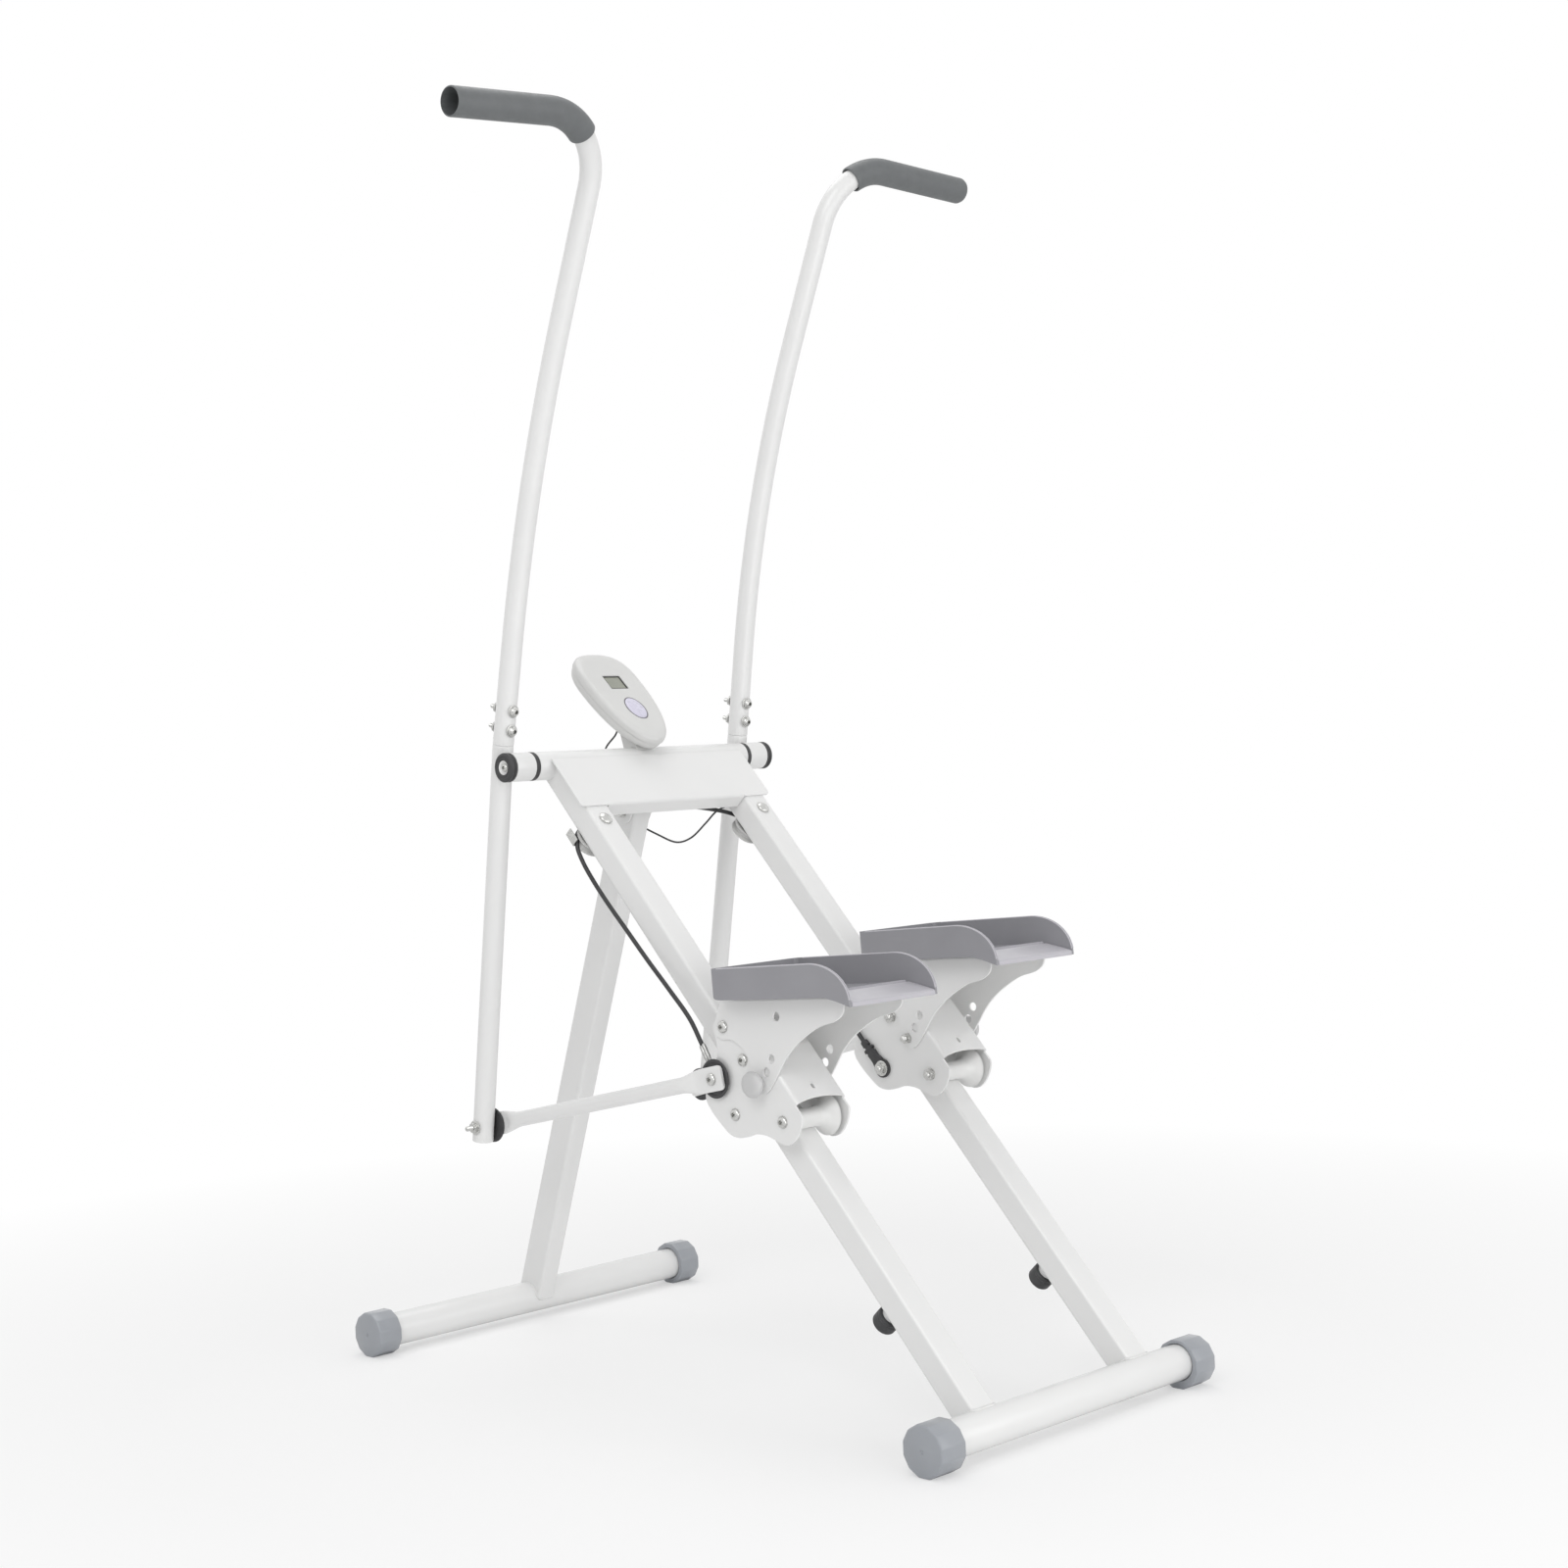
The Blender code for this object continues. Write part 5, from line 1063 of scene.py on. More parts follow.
def build_tread(side):
    """The moulded foot plate: a floor, a toe wall and side walls that sweep down at the heel."""
    centre_x = SIDES[side] * PEDAL_X
    toe = Vector((0, PEDAL_TOE[0], PEDAL_TOE[1])) + side_shift(side)
    back = Vector((0, -cos(PEDAL_PITCH), sin(PEDAL_PITCH)))
    up = Vector((0, sin(PEDAL_PITCH), cos(PEDAL_PITCH)))
    body = side + "_carriage"
    curve_start = 0.164
    low = -0.0065
    skin = 0.004
    toe_wall = PEDAL_SKIN - PEDAL_NOSE
    inner_half = PEDAL_HALF - PEDAL_SKIN

    def at(x, p, q):
        return Vector((centre_x + x, 0, 0)) + toe + back * p + up * q

    def slab(name, half, shape):
        return prism(name, [at(-half, p, q) for p, q in shape], X_AXIS * 2 * half)

    def plan_prism(half, start, radius, end, high):
        """The pedal's plan with round corners at the toe, as a tall cutter."""
        shape = [(-half, end), (half, end)]
        shape += arc_points((half - radius, start + radius), radius, 0, -90, 14)
        shape += arc_points((-half + radius, start + radius), radius, 270, 180, 14)
        return prism("plan", [at(x, p, -0.03) for x, p in shape], up * (high + 0.03))

    angles = [radians(90 * k / 24) for k in range(25)]
    long, high = PEDAL_LENGTH - curve_start, PEDAL_WALL - low
    wall_top = [(curve_start + long * cos(angle), low + high * sin(angle)) for angle in angles]
    toe_top = (-PEDAL_NOSE, PEDAL_WALL - 0.0015)
    shape = pedal_underside(-PEDAL_NOSE, 0.0, 0.0090) + wall_top + [toe_top]
    pedal = slab("pedal_look_" + side, PEDAL_HALF, shape)
    cut(pedal, plan_prism(PEDAL_HALF, -PEDAL_NOSE, PEDAL_CORNER, PEDAL_LENGTH + 0.02, 0.08), "INTERSECT")
    shape = pedal_underside(toe_wall, skin, 0.0080)
    end_p, end_q = shape[-1]
    shape[-1] = (end_p + 0.02, end_q - 0.0045)
    cavity = slab("cavity", inner_half, shape + [(end_p + 0.02, 0.08), (toe_wall, 0.08)])
    inner_corner = PEDAL_CORNER - PEDAL_SKIN
    plan = plan_prism(inner_half + 0.0002, toe_wall, inner_corner, PEDAL_LENGTH + 0.03, 0.09)
    cut(cavity, plan, "INTERSECT")
    cut(pedal, cavity)
    finish(pedal, PEDAL, body, edge=0.0011, segments=3)

    # The knurl's teeth are in the lighter plastic, a painted highlight.
    bm = bmesh.new()
    pitch = 2 * (inner_half - 0.006) / TEETH
    half_a, half_b = pitch * 0.40, 0.0017
    corners = ((-half_a, -half_b), (half_a, -half_b), (half_a, half_b), (-half_a, half_b))
    for k in range(TEETH):
        for p, slant in ((0.1815, 0.0), (0.1855, pitch * 0.5)):
            centre = at(-inner_half + 0.006 + pitch * (k + 0.5) + slant, p, 0.0046)
            base = [centre + X_AXIS * a + back * b - up * 0.0012 for a, b in corners]
            peak = [centre + X_AXIS * a * 0.35 + back * b * 0.5 + up * 0.0022 for a, b in corners]
            loft(bm, [base, peak])
    piece("pedal_knurl_" + side, bm, PEDAL_HIGHLIGHT, body, crease=20)

    bm = bmesh.new()
    rib_half = inner_half - 0.010
    radii = [0.0004] + [0.0009] * 5 + [0.0004]
    for row in range(RIBS):
        start = at(-rib_half, 0.030 + row * 0.0165, skin)
        sweep(bm, [start + X_AXIS * (2 * rib_half) * s / 6 for s in range(7)], radii, count=8)
    piece("pedal_ribs_" + side, bm, PEDAL, body, crease=60)

    # A thin sheet over the heel's slope in the lighter plastic is painted highlight.
    line = [(0.1880, 0.0044), (0.1895, 0.0042), (0.196, 0.0025), (0.207, -0.0001), (0.2250, -0.0050),
            (0.2272, -0.0059), (0.2284, -0.0074), (0.2287, -0.0095), (0.2287, -0.0116)]
    sheet = line + [(p - 0.0005, q - 0.0006) for p, q in reversed(line)]
    finish(slab("pedal_heel_highlight_" + side, inner_half - 0.0012, sheet), PEDAL_HIGHLIGHT, body)

    # Thin strips along the walls' top edges in the lighter plastic are painted highlights on the rims.
    bm = bmesh.new()
    inset = 0.0005
    for edge in (-PEDAL_HALF + inset, -inner_half - inset, inner_half + inset, PEDAL_HALF - inset):
        rim = [at(edge, p, q - inset) for p, q in [(PEDAL_CORNER, toe_top[1])] + wall_top[:0:-1]]
        sweep(bm, rim, [0.0008] * len(rim), count=10)
    piece("pedal_rim_highlight_" + side, bm, PEDAL_HIGHLIGHT, body, crease=60)


def build_knob(side):
    face = BRACKET_EDGES[side][1] + GAP
    nut = BRACKET_EDGES[side][0] - GAP
    shank = 0.0037
    start = carriage_point(side, 0.0, KNOB_AXIS)
    out = X_AXIS * SIDES[side]
    profile = [(0.0, 0.0030), (0.0, 0.0088), (0.0040, 0.0092), (0.0068, 0.0118), (0.0088, 0.0150),
               (0.0110, 0.0164), (0.0135, 0.0162), (0.0163, 0.0146), (0.0183, 0.0116), (0.0193, 0.0078),
               (0.0196, 0.0040), (0.0196, 0.0006)]
    bm = bmesh.new()
    spin(bm, start, out, [tuple(p) for p in smooth(shifted(face, profile), 3)], 56)
    piece("knob_look_" + side, bm, KNOB, side + "_knob", crease=50)
    bm = bmesh.new()
    sweep(bm, [start + out * (nut - 0.001), start + out * (face + 0.001)], [shank, shank], count=24)
    add_nut(bm, start + out * nut, -out, 0.0062, 0.0058, 0.0065, shank)
    piece("knob_screw_" + side, bm, ZINC, side + "_knob")


# Arms and links

def handle_path(side):
    """Centre line of the upper tube, and where its grip starts."""
    points = [(0.0, ARM_FRONT, ARM_SEAM + GAP), (0.0, ARM_FRONT, KNEE_START)]
    outward = sin(KNEE_YAW)
    rearward = cos(KNEE_YAW)
    knee_steps = 16
    for k in range(1, knee_steps + 1):
        a = KNEE_ANGLE * k / knee_steps
        off = KNEE_RADIUS * (1 - cos(a))
        points.append((off * outward, ARM_FRONT - off * rearward, KNEE_START + KNEE_RADIUS * sin(a)))
    knee_end = points[-1]
    tilt = sin(KNEE_ANGLE)
    rise = Vector((tilt * outward, -tilt * rearward, cos(KNEE_ANGLE)))
    start = Vector(knee_end) + rise * (HANDLE_START - knee_end[2]) / cos(KNEE_ANGLE)
    points.append(tuple(start))
    turn = Vector((cos(HANDLE_YAW), -sin(HANDLE_YAW), 0.0))
    turn = (turn - rise * turn.dot(rise)).normalized()
    bend_steps = 36
    grip_first = None
    for k in range(1, bend_steps + 1):
        a = HANDLE_ANGLE[side] * k / bend_steps
        if grip_first is None and a > GRIP_START:
            grip_first = len(points)
        points.append(tuple(start + rise * HANDLE_RADIUS * sin(a) + turn * HANDLE_RADIUS * (1 - cos(a))))
    final = rise * cos(HANDLE_ANGLE[side]) + turn * sin(HANDLE_ANGLE[side])
    end = Vector(points[-1])
    points += [tuple(end + final * HANDLE_LENGTH[side] * k / 8) for k in range(1, 9)]
    return [leaned(side, *p) for p in points], grip_first


def resample(points, shares):
    """Points at these shares of a path's length, and the length."""
    lengths = [0.0]
    for one, two in zip(points[:-1], points[1:]):
        lengths.append(lengths[-1] + (two - one).length)
    total = lengths[-1]
    made = []
    index = 0
    for share in shares:
        want = share * total
        while index < len(points) - 2 and lengths[index + 1] < want:
            index += 1
        s = (want - lengths[index]) / (lengths[index + 1] - lengths[index])
        made.append(points[index].lerp(points[index + 1], s))
    return made, total


def build_arm(side):
    body = side + "_arm"
    out = X_AXIS * SIDES[side]
    build_lower_arm(side, body, out)
    bm = bmesh.new()
    for u in ARM_BOLTS:
        front_end = leaned(side, 0, ARM_FRONT + ARM_RADIUS, u)
        rear_end = leaned(side, 0, ARM_FRONT - ARM_RADIUS, u)
        along = (front_end - rear_end).normalized()
        add_through_bolt(bm, rear_end - along * GAP, front_end + along * GAP, washer=0.0086, head=0.0068,
                         shank=0.003, tail=0.011, head_height=0.0062)
    outer_face = arm_point(side, ARM_RADIUS, ARM_FRONT, ARM_LINK_U)
    inner_x = ARM_X - (LINK_X - LINK_SHEET / 2 - GAP)
    inner_face = arm_point(side, -inner_x, ARM_FRONT, ARM_LINK_U)
    add_through_bolt(bm, inner_face, outer_face, washer=0.0098, head=0.0064, shank=LINK_BOLT, tail=0.0095)
    piece("arm_bolts_" + side, bm, ZINC, body)
    path, grip_first = handle_path(side)
    tube = path[:-2] if side == "left" else path[:-1]
    tube.insert(1, path[0].lerp(path[1], 0.004))
    radii = [ARM_RADIUS - 0.0006] + [ARM_RADIUS] * (len(tube) - 1)
    bm = bmesh.new()
    sweep(bm, tube, radii, [ARM_BORE] * len(tube), 56)
    piece("arm_upper_look_" + side, bm, POWDER, body, crease=50)
    build_grip(side, path[grip_first:], body)
    disc = ring_profile(LINK_X + LINK_SHEET / 2 + GAP, ARM_X - ARM_RADIUS - GAP, BORE, DISC_RADIUS - 0.001)
    turned("arm_disc_look_" + side, RUBBER, body, arm_point(side, -ARM_X, ARM_FRONT, ARM_LINK_U), out, disc,
           0.0007, count=64, crease=50)


def build_lower_arm(side, body, out):
    """The lower tube with its spigot, the sleeve round the shaft and the weld between them."""
    low = arm_point(side, 0, ARM_FRONT, ARM_BOTTOM)
    rise = (arm_point(side, 0, ARM_FRONT, 0) - low).normalized()
    joint = [(-0.0034, ARM_RADIUS), (-0.0011, ARM_RADIUS), (-0.0002, ARM_RADIUS - 0.0007)]
    joint += [(0.0008, SPIGOT_RADIUS), (SPIGOT_LENGTH, SPIGOT_RADIUS)]
    path = [low, low + rise * 0.0004] + [leaned(side, 0, ARM_FRONT, ARM_SEAM + a) for a, r in joint]
    radii = [ARM_RADIUS - 0.0005, ARM_RADIUS] + [r for a, r in joint]
    bm = bmesh.new()
    sweep(bm, path, radii, [0.0098 + 0.0024 * (k < 2) for k in range(len(path))], 56)
    sleeve = soften(ring_profile(SLEEVE_IN, SLEEVE_OUT, SLEEVE_BORE, BAR_RADIUS), 0.0007, 3, wrap=True)
    spin(bm, BAR, out, sleeve, 72, wrap=True)
    piece("arm_lower_look_" + side, bm, POWDER, body, crease=50)
    points = []
    for _, c, s in circle(40):
        x = 0.0085 * c
        u = 0.0105 * s
        on_tube = ARM_FRONT - sqrt(ARM_RADIUS ** 2 - x ** 2) - 0.0002
        on_sleeve = sqrt(BAR_RADIUS ** 2 - u ** 2) * 0.97
        points.append(arm_point(side, x, max(on_tube, on_sleeve), u))
    bm = bmesh.new()
    add_bead(bm, points, 0.0022)
    piece("arm_weld_" + side, bm, WELD, body, crease=80)


def build_grip(side, path, body):
    """A foam sleeve that stands a little open round the tube at its start and is hollow at its end."""
    length = sum((b - a).length for a, b in zip(path[:-1], path[1:]))
    corner, hollow = (0.0050, 0.0016) if side == "right" else (0.0016, 0.0022)
    rounding = (1.0, 0.7, 0.42, 0.2, 0.06, 0.0)
    shares = [0.0, 0.0006 / length, 0.0016 / length, 0.004 / length]
    shares += [0.03 + 0.92 * k / 44 for k in range(45)]
    radii = [GRIP_RADIUS - 0.0014, GRIP_RADIUS - 0.0005, GRIP_RADIUS - 0.0001] + [GRIP_RADIUS] * 46
    for s in rounding:
        shares.append(1.0 - corner * s / length)
        radii.append(GRIP_RADIUS - corner * (1 - sqrt(max(0.0, 1 - (1 - s) ** 2))))
    points, total = resample(path, shares)
    bores = []
    for share in shares:
        flare = 0.0012 * max(0.0, 1 - share * total / 0.012)
        mouth = hollow * min(1.0, max(0.0, 1 - ((1 - share) * total - 0.030) / 0.010))
        bores.append(ARM_RADIUS + 0.0009 + flare + mouth)
    bores[-1] = min(bores[-1], radii[-1] - 0.0004)
    bm = bmesh.new()
    sweep(bm, points, radii, bores, 64)
    piece("grip_look_" + side, bm, FOAM, body, crease=60)


def build_link(side):
    """The connecting rod: a round tube flattened at both ends."""
    sign = SIDES[side]
    body = side + "_link"
    near = carriage_point(side, LINK_X, LINK_PIVOT)
    far = arm_point(side, LINK_X - ARM_X, ARM_FRONT, ARM_LINK_U)
    along = (far - near).normalized()
    length = (far - near).length
    out = X_AXIS * sign
    tall = along.cross(out).normalized()
    flat = LINK_SHEET / 2
    tip = -LINK_BEYOND
    stations = [
        (tip, 0.0122, flat), (tip + 0.0010, 0.0136, flat), (tip + 0.0028, 0.0149, flat),
        (tip + 0.0055, LINK_FLAT, flat), (0.0200, 0.0154, flat), (0.0262, 0.0148, flat + 0.0001),
        (0.0320, 0.0138, 0.0036), (0.0420, 0.0120, 0.0072), (0.0500, 0.0106, 0.0093),
        (0.0580, LINK_TUBE, LINK_TUBE),
    ]
    stations += [(length - a, wide, thick) for a, wide, thick in reversed(stations)]
    rings = []
    for a, wide, thick in stations:
        power = 1.0 - 0.62 * min(1.0, max(0.0, (LINK_TUBE - thick) / (LINK_TUBE - flat)))
        section = [rounded(wide, thick, power, c, s) for _, c, s in circle(56, 0.5)]
        rings.append(place(section, near + along * a, tall, out))
    link = lofted("link_look_" + side, rings)
    drill(link, *across(near, sign * 0.02), BORE)
    drill(link, *across(far, sign * 0.02), LINK_FAR_HOLE)
    finish(link, POWDER, body, crease=42)
    disc_out = LINK_X - LINK_SHEET / 2 - GAP
    plate_face = RAIL_X + CARRIAGE_HALF + GAP
    disc_in = plate_face + LUG_THICK + GAP
    edge = DISC_RADIUS
    profile = [(disc_in, BORE)]
    if side == "right":
        profile = [(plate_face, BORE), (plate_face, 0.0100), (disc_in, 0.0100)]
    profile += [(disc_in, edge - 0.0006), (disc_in + 0.0008, edge)]
    profile += shifted(disc_out, [(-0.0014, edge), (-0.0003, edge - 0.0012), (-0.0003, 0.0205),
                                  (-0.0011, 0.0195), (-0.0011, 0.0170), (-0.0003, 0.0160), (0.0, 0.0150),
                                  (0.0, BORE)])
    pivot = Vector((0, near.y, near.z))
    turned("link_disc_look_" + side, RUBBER, body, pivot, out, profile, 0.0004, 2, crease=50)


# Console

def console_ring(scale, level):
    """The console's egg-shaped outline, scaled about its middle."""
    middle = CONSOLE_WIDEST + (CONSOLE_UP - CONSOLE_DOWN) / 2
    ring = []
    for _, c, s in circle(96):
        power, length = (2.8, CONSOLE_UP) if s >= 0 else (2.1, CONSOLE_DOWN)
        x, y = rounded(CONSOLE_HALF, length, 2 / power, c, s)
        ring.append(console_point(x * scale, middle + (CONSOLE_WIDEST + y - middle) * scale, level))
    return ring


def oval_ring(grow, level):
    """The button's outline, grown by a little."""
    return [console_point((BUTTON_HALF[0] + grow) * c, BUTTON_AT + (BUTTON_HALF[1] + grow) * s, level)
            for _, c, s in circle(56)]


def lens_ring(grow, level):
    """The outline of the display's window, grown by a little."""
    wide, high = LENS_HALF[0] + grow, LENS_HALF[1] + grow
    return [console_point(x * wide, y * high, level) for x, y in ((-1, -1), (1, -1), (1, 1), (-1, 1))]


def build_console():
    build_console_back()
    levels = ((0.984, CONSOLE_SEAM), (0.996, CONSOLE_SEAM + 0.0003), (1.0, CONSOLE_SEAM + 0.0014),
              (1.0, -0.0068), (0.996, -0.0048), (0.986, -0.0032), (0.965, -0.0017), (0.930, -0.0006),
              (0.880, 0.0001), (0.840, 0.0003))
    front = lofted("console_front_look", [console_ring(*step) for step in levels])
    steps = ((0.0004, -0.0042), (0.0004, -0.0012), (0.0016, 0.0010))
    cut(front, lofted("recess", [lens_ring(*step) for step in steps]))
    cut(front, lofted("well", [oval_ring(0.0002, -0.0075), oval_ring(0.0002, 0.01)]))
    finish(front, CONSOLE, "frame", edge=0.0005, crease=32)
    face = console_point(0, 0, 1) - console_point(0, 0, 0)
    lens = prism("console_lens_look", lens_ring(0.0, -0.0032), face * 0.0014)
    finish(lens, LENS, "frame", edge=0.0004)
    # A dark ring round the display's window, down in its recess, is painted shade.
    wide, high = 2 * LENS_HALF[0] + 0.0006, 2 * LENS_HALF[1] + 0.0006
    rim = rounded_box(wide, high, 0.0006, 2)
    inner = rounded_box(wide - 0.0026, high - 0.0026, 0.0004, 2)
    rings = [[console_point(a, b, level) for a, b in ring]
             for ring, level in ((rim, -0.0030), (rim, -0.0009), (inner, -0.0009), (inner, -0.0030))]
    finish(lofted("lens_recess_shade", rings, wrap=True), RECESS_SHADE, "frame")
    # A dark ring in the gap round the button is painted shade.
    steps = ((0.0001, -0.0010), (0.0011, 0.0004), (0.0009, 0.0008), (0.0004, 0.0009), (-0.0002, 0.0006),
             (-0.0002, -0.0010))
    finish(lofted("button_shade_ring", [oval_ring(*step) for step in steps], wrap=True), GAP_SHADE, "frame", crease=60)
    steps = ((-0.0005, -0.0052), (-0.0005, 0.0004), (-0.0008, 0.0009), (-0.0016, 0.0013), (-0.0034, 0.0016),
             (-0.0070, 0.0019), (-0.0110, 0.0021))
    button = lofted("console_button_look", [oval_ring(*step) for step in steps])
    finish(button, BUTTON, "console_button", crease=60)


def build_console_back():
    """The rear shell, joined with the bracket that clips it to the crossbar."""
    levels = ((0.845, 0.0), (0.870, 0.0004), (0.915, 0.0016), (0.950, 0.0040), (0.970, 0.0075),
              (0.980, 0.0120))
    rings = [console_ring(scale, CONSOLE_BACK + level) for scale, level in levels]
    back = lofted("console_back_look", rings + [console_ring(0.980, CONSOLE_SEAM - 0.0004)])
    low = console_point(0, -0.082, CONSOLE_BACK + 0.002)
    high = console_point(0, -0.048, CONSOLE_BACK + 0.002)
    shape = [(-0.012, 0.010), (-0.0110, 0.0190), (-0.0060, 0.0255), (low.y - BAR_Y, low.z - BAR_Z),
             (high.y - BAR_Y, high.z - BAR_Z), (0.0265, 0.050), (0.0175, 0.0200), (0.0150, 0.008)]
    cut(back, bar_prism("bracket", 0.013, shape), "UNION")
    drill(back, *across(BAR, 0.03), BAR_RADIUS + GAP, 72)
    finish(back, CONSOLE, "frame", edge=0.0007, crease=50)


# Cable and sensor lead

def cable_runs():
    """The cable's left run, its middle over both pulleys, and its right run."""
    left = [(0.1880, 0.4640, -0.0104), (0.1830, 0.4249, -0.0094), (0.1800, 0.3729, -0.0150),
            (0.1770, 0.3188, -0.0220), (0.1740, 0.2649, -0.0277), (0.1710, 0.2100, -0.0334),
            (0.1688, 0.1700, -0.0356), (0.1672, 0.1400, -0.0349), (0.1655, 0.1190, -0.0312)]
    right = [(0.0982, 0.4870, -0.0275), (0.0984, 0.4680, -0.0268), (0.1060, 0.4420, -0.0250),
             (0.1250, 0.4080, -0.0240), (0.1450, 0.3600, -0.0240), (0.1560, 0.2900, -0.0255),
             (0.1612, 0.2100, -0.0262), (0.1636, 0.1440, -0.0256)]
    half = [(0.1470, 0.0914), (0.1340, 0.0842), (0.1200, 0.0785), (0.0900, 0.0706), (0.0450, 0.0622),
            (0.0, 0.0594)]
    wrap = [(RAIL_X + CABLE_TURN * cos(radians(a)), PULLEY_T - CABLE_TURN * sin(radians(a)))
            for a in range(20, 56, 5)]
    arch = [rail_point(-x, t, PULLEY_H) for x, t in half]
    arch += [rail_point(x, t, PULLEY_H) for x, t in reversed(half[:-1])]
    middle = [rail_point(-x, t, PULLEY_H) for x, t in wrap] + smooth(arch, 6)
    middle += [rail_point(x, t, PULLEY_H) for x, t in reversed(wrap)]
    left_points = [rail_point(-x, t, h) for x, t, h in left] + [middle[0]]
    right_points = [rail_point(x, t, h) for x, t, h in right]
    right_points += [rail_point(RAIL_X + CABLE_TURN, PULLEY_T + 0.004, PULLEY_H), middle[-1]]
    return smooth(left_points, 12), middle, smooth(right_points, 12)


def build_cable():
    left, middle, right = cable_runs()
    runs = (("cable_left", left, "left"), ("cable_middle", middle, None), ("cable_right", right, "right"))
    for name, points, ends in runs:
        bm = bmesh.new()
        sweep(bm, points, [CABLE_RADIUS] * len(points), count=20)
        obj = raw(name, bm)
        obj.data.materials.append(SHEATH)
        obj.data.shade_smooth()
        obj.data.set_sharp_from_angle(angle=radians(60))
        if ends:
            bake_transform(obj)
        else:
            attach(obj, "frame")
            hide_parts("cable")


def build_wire():
    """The thin sensor lead from the console's back to the right pulley."""
    spots = [(-0.0156, 0.0300, 0.0373), (-0.0275, 0.0380, 0.0190), (-0.0266, 0.0440, -0.0092),
             (-0.0194, 0.0490, -0.0378), (0.0000, 0.0550, -0.0500), (0.0220, 0.0470, -0.0800),
             (0.0340, 0.0054, -0.1032), (0.0560, -0.0080, -0.1146), (0.0750, -0.0157, -0.1096),
             (0.0960, -0.0244, -0.0904), (0.1090, -0.0334, -0.0747)]
    points = [console_point(-0.022, -0.062, CONSOLE_BACK - 4 * GAP)]
    points += [Vector((x, BAR_Y + y, BAR_Z + z)) for x, y, z in spots]
    points += [rail_point(RAIL_X - RAIL_WIDTH / 2 - 0.004, 0.080, -0.010)]
    route = smooth(points, 8)
    bm = bmesh.new()
    sweep(bm, route, [WIRE_RADIUS] * len(route), count=14)
    piece("sensor_wire_look", bm, SHEATH, "frame", crease=60)


# Floor, light and camera

def fresh_tree(owner):
    """An emptied node tree of a material or a world."""
    owner.use_nodes = True
    owner.node_tree.nodes.clear()
    return owner.node_tree


def mix_shaders(tree, factor, one, two, output):
    """Blends the first outputs of two shaders and joins them to a new output node."""
    mix = add_node(tree, "MixShader", {"Fac": factor, 1: one.outputs[0], 2: two.outputs[0]})
    add_node(tree, output, {"Surface": mix.outputs["Shader"]})


def build_floor():
    bm = bmesh.new()
    bmesh.ops.create_circle(bm, cap_ends=True, segments=96, radius=9.0)
    floor = raw("floor", bm)
    made = bpy.data.materials.new("floor")
    tree = fresh_tree(made)
    lit = add_node(tree, "BsdfDiffuse", {"Color": (0.93, 0.93, 0.93, 1.0)})
    glow = add_node(tree, "Emission", {"Color": (1.0, 1.0, 1.0, 1.0), "Strength": 1.0})
    spot = add_node(tree, "TexCoord", {})
    length = add_node(tree, "VectorMath", {0: spot.outputs["Object"]}, operation="LENGTH")
    fade = value_range(tree, length.outputs["Value"], 0.42, 1.0, 0.8, 2.0)
    rays = add_node(tree, "LightPath", {})
    seen = add_node(tree, "Math", {0: fade, 1: rays.outputs["Is Camera Ray"]}, operation="MULTIPLY")
    mix_shaders(tree, seen.outputs["Value"], lit, glow, "OutputMaterial")
    floor.data.materials.append(made)


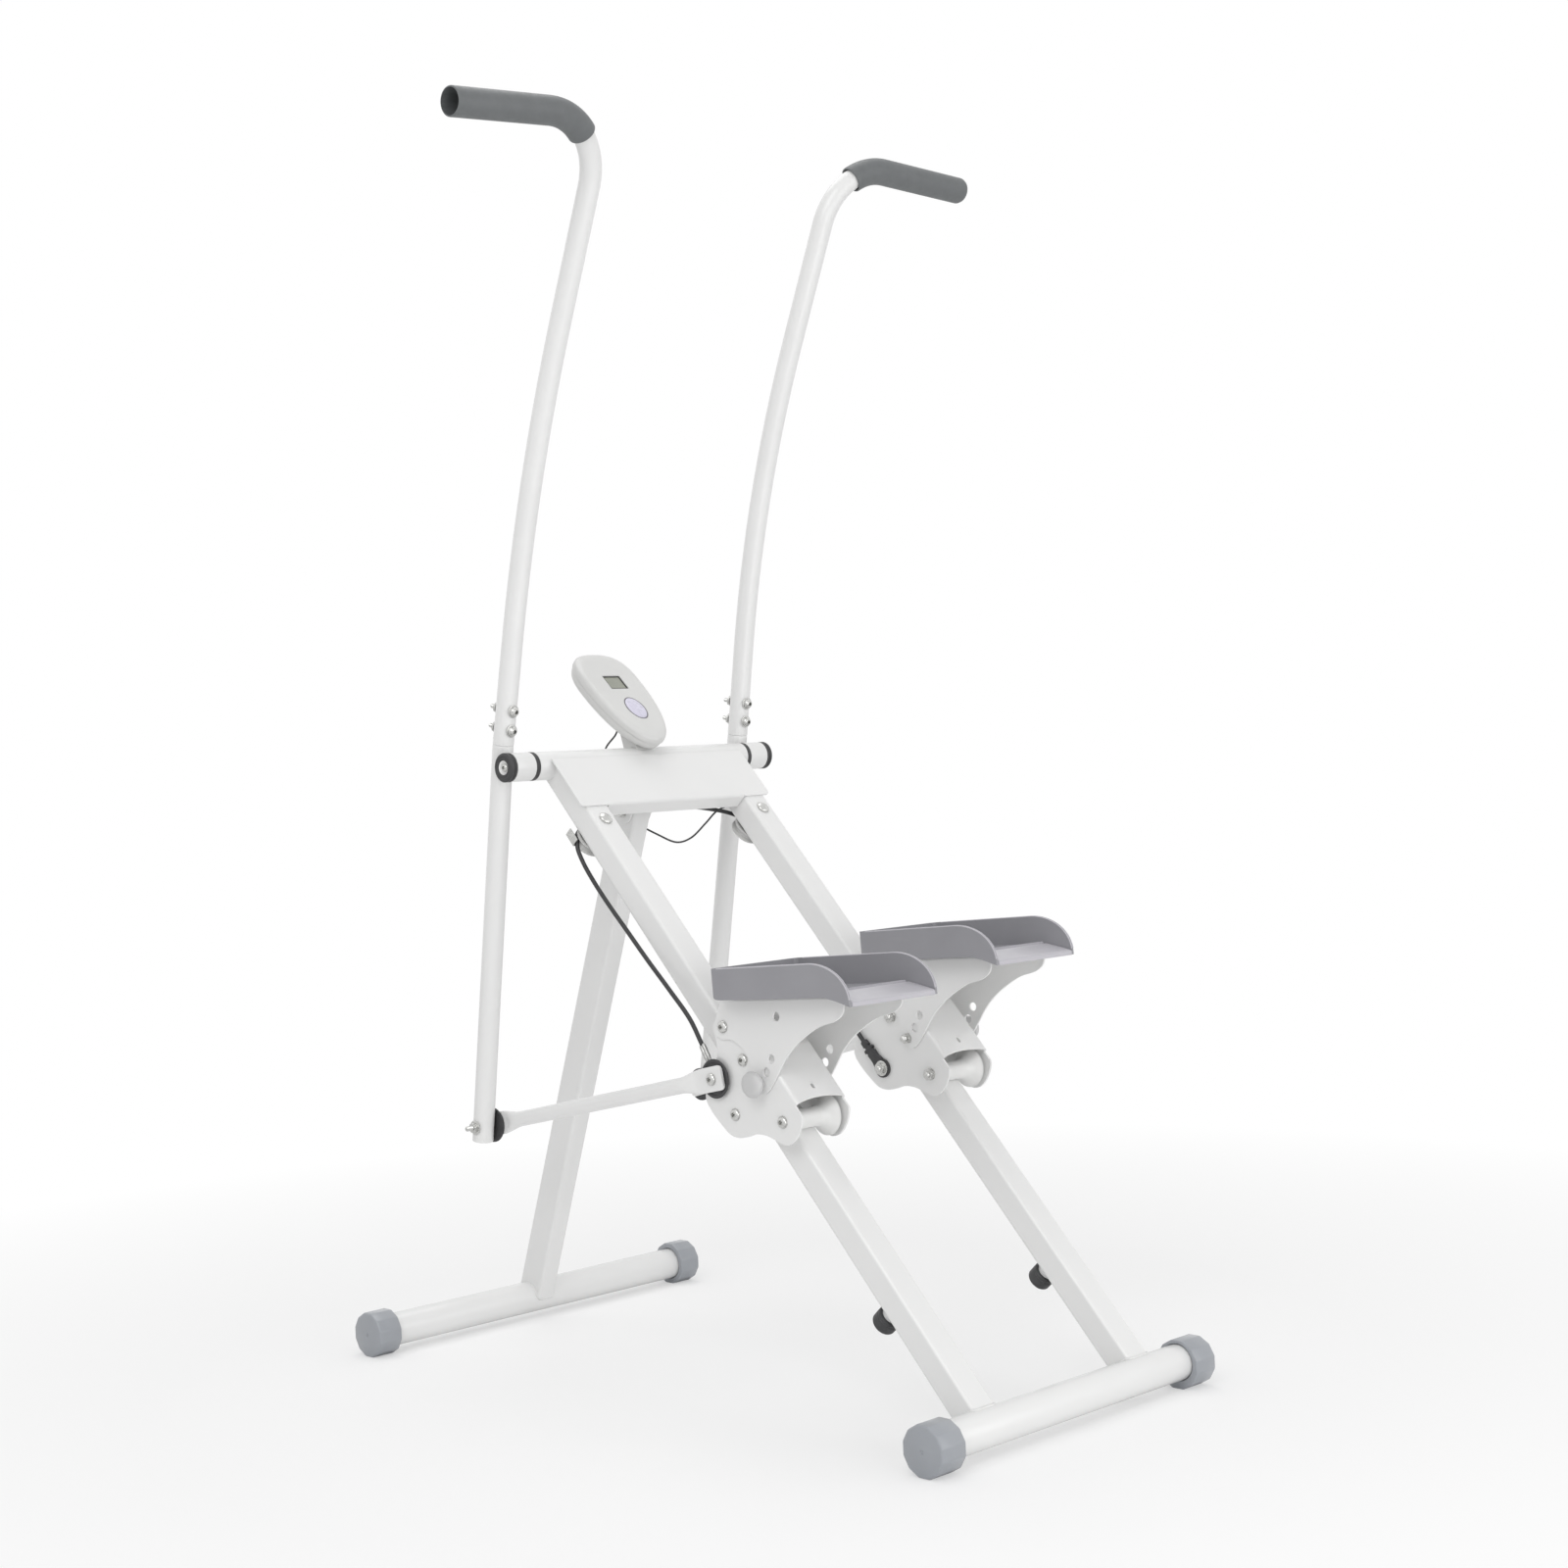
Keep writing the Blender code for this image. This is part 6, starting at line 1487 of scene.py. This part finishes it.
def build_world():
    """Soft white light, with plain white where the camera, gloss or clear surfaces see it."""
    world = bpy.data.worlds.new("studio")
    bpy.context.scene.world = world
    tree = fresh_tree(world)
    white = (1.0, 1.0, 1.0, 1.0)
    soft, seen = [add_node(tree, "Background", {"Color": white, "Strength": power}) for power in (0.60, 1.0)]
    rays = add_node(tree, "LightPath", {}).outputs
    first = add_node(tree, "Math", {0: rays["Is Camera Ray"], 1: rays["Is Glossy Ray"]}, operation="MAXIMUM")
    either = {0: first.outputs["Value"], 1: rays["Is Transmission Ray"]}
    second = add_node(tree, "Math", either, operation="MAXIMUM")
    mix_shaders(tree, second.outputs["Value"], soft, seen, "OutputWorld")


def build_light(name, spot, target, size, power):
    data = bpy.data.lights.new(name, "AREA")
    data.shape = "DISK"
    data.size = size
    data.energy = power
    lamp = bpy.data.objects.new(name, data)
    bpy.context.scene.collection.objects.link(lamp)
    lamp.location = spot
    lamp.rotation_euler = (Vector(target) - Vector(spot)).to_track_quat("-Z", "Y").to_euler()


def build_camera():
    yaw, pitch, roll = 0.783706, 0.019498, -0.0411747
    forward = Vector((sin(yaw) * cos(pitch), cos(yaw) * cos(pitch), -sin(pitch)))
    flat_right = Vector((cos(yaw), -sin(yaw), 0.0))
    flat_up = flat_right.cross(forward)
    right = flat_right * cos(roll) + flat_up * sin(roll)
    up = flat_up * cos(roll) - flat_right * sin(roll)
    data = bpy.data.cameras.new("camera")
    data.lens = 57.80
    data.sensor_width = 36.0
    data.clip_start = 0.05
    camera = bpy.data.objects.new("camera", data)
    bpy.context.scene.collection.objects.link(camera)
    turn = Matrix((right, up, -forward)).transposed().to_4x4()
    camera.matrix_world = Matrix.Translation((-2.29656, -2.36660, 0.82891)) @ turn
    bpy.context.scene.camera = camera


def main():
    build_crossbar()
    build_rails()
    build_cover()
    build_pulleys()
    build_bumpers()
    build_leg()
    build_leg_hinge()
    build_feet()
    for side in SIDES:
        build_carriage(side)
        build_cable_ends(side)
        build_bracket(side)
        build_tread(side)
        build_knob(side)
        build_arm(side)
        build_link(side)
    build_console()
    build_cable()
    build_wire()
    build_floor()
    build_world()
    build_light("key", (-3.0, -1.6, 3.0), (0.0, 0.0, 0.8), 2.6, 38.0)
    build_light("fill", (1.2, -3.4, 1.2), (0.0, 0.0, 0.6), 2.4, 16.0)
    build_light("top", (0.4, 1.0, 4.2), (0.0, 0.0, 0.6), 3.0, 34.0)
    build_light("low", (-0.8, -2.8, 0.45), (0.05, -0.3, 0.05), 1.7, 15.0)
    build_camera()
    bpy.context.scene.view_settings.view_transform = "Standard"


main()
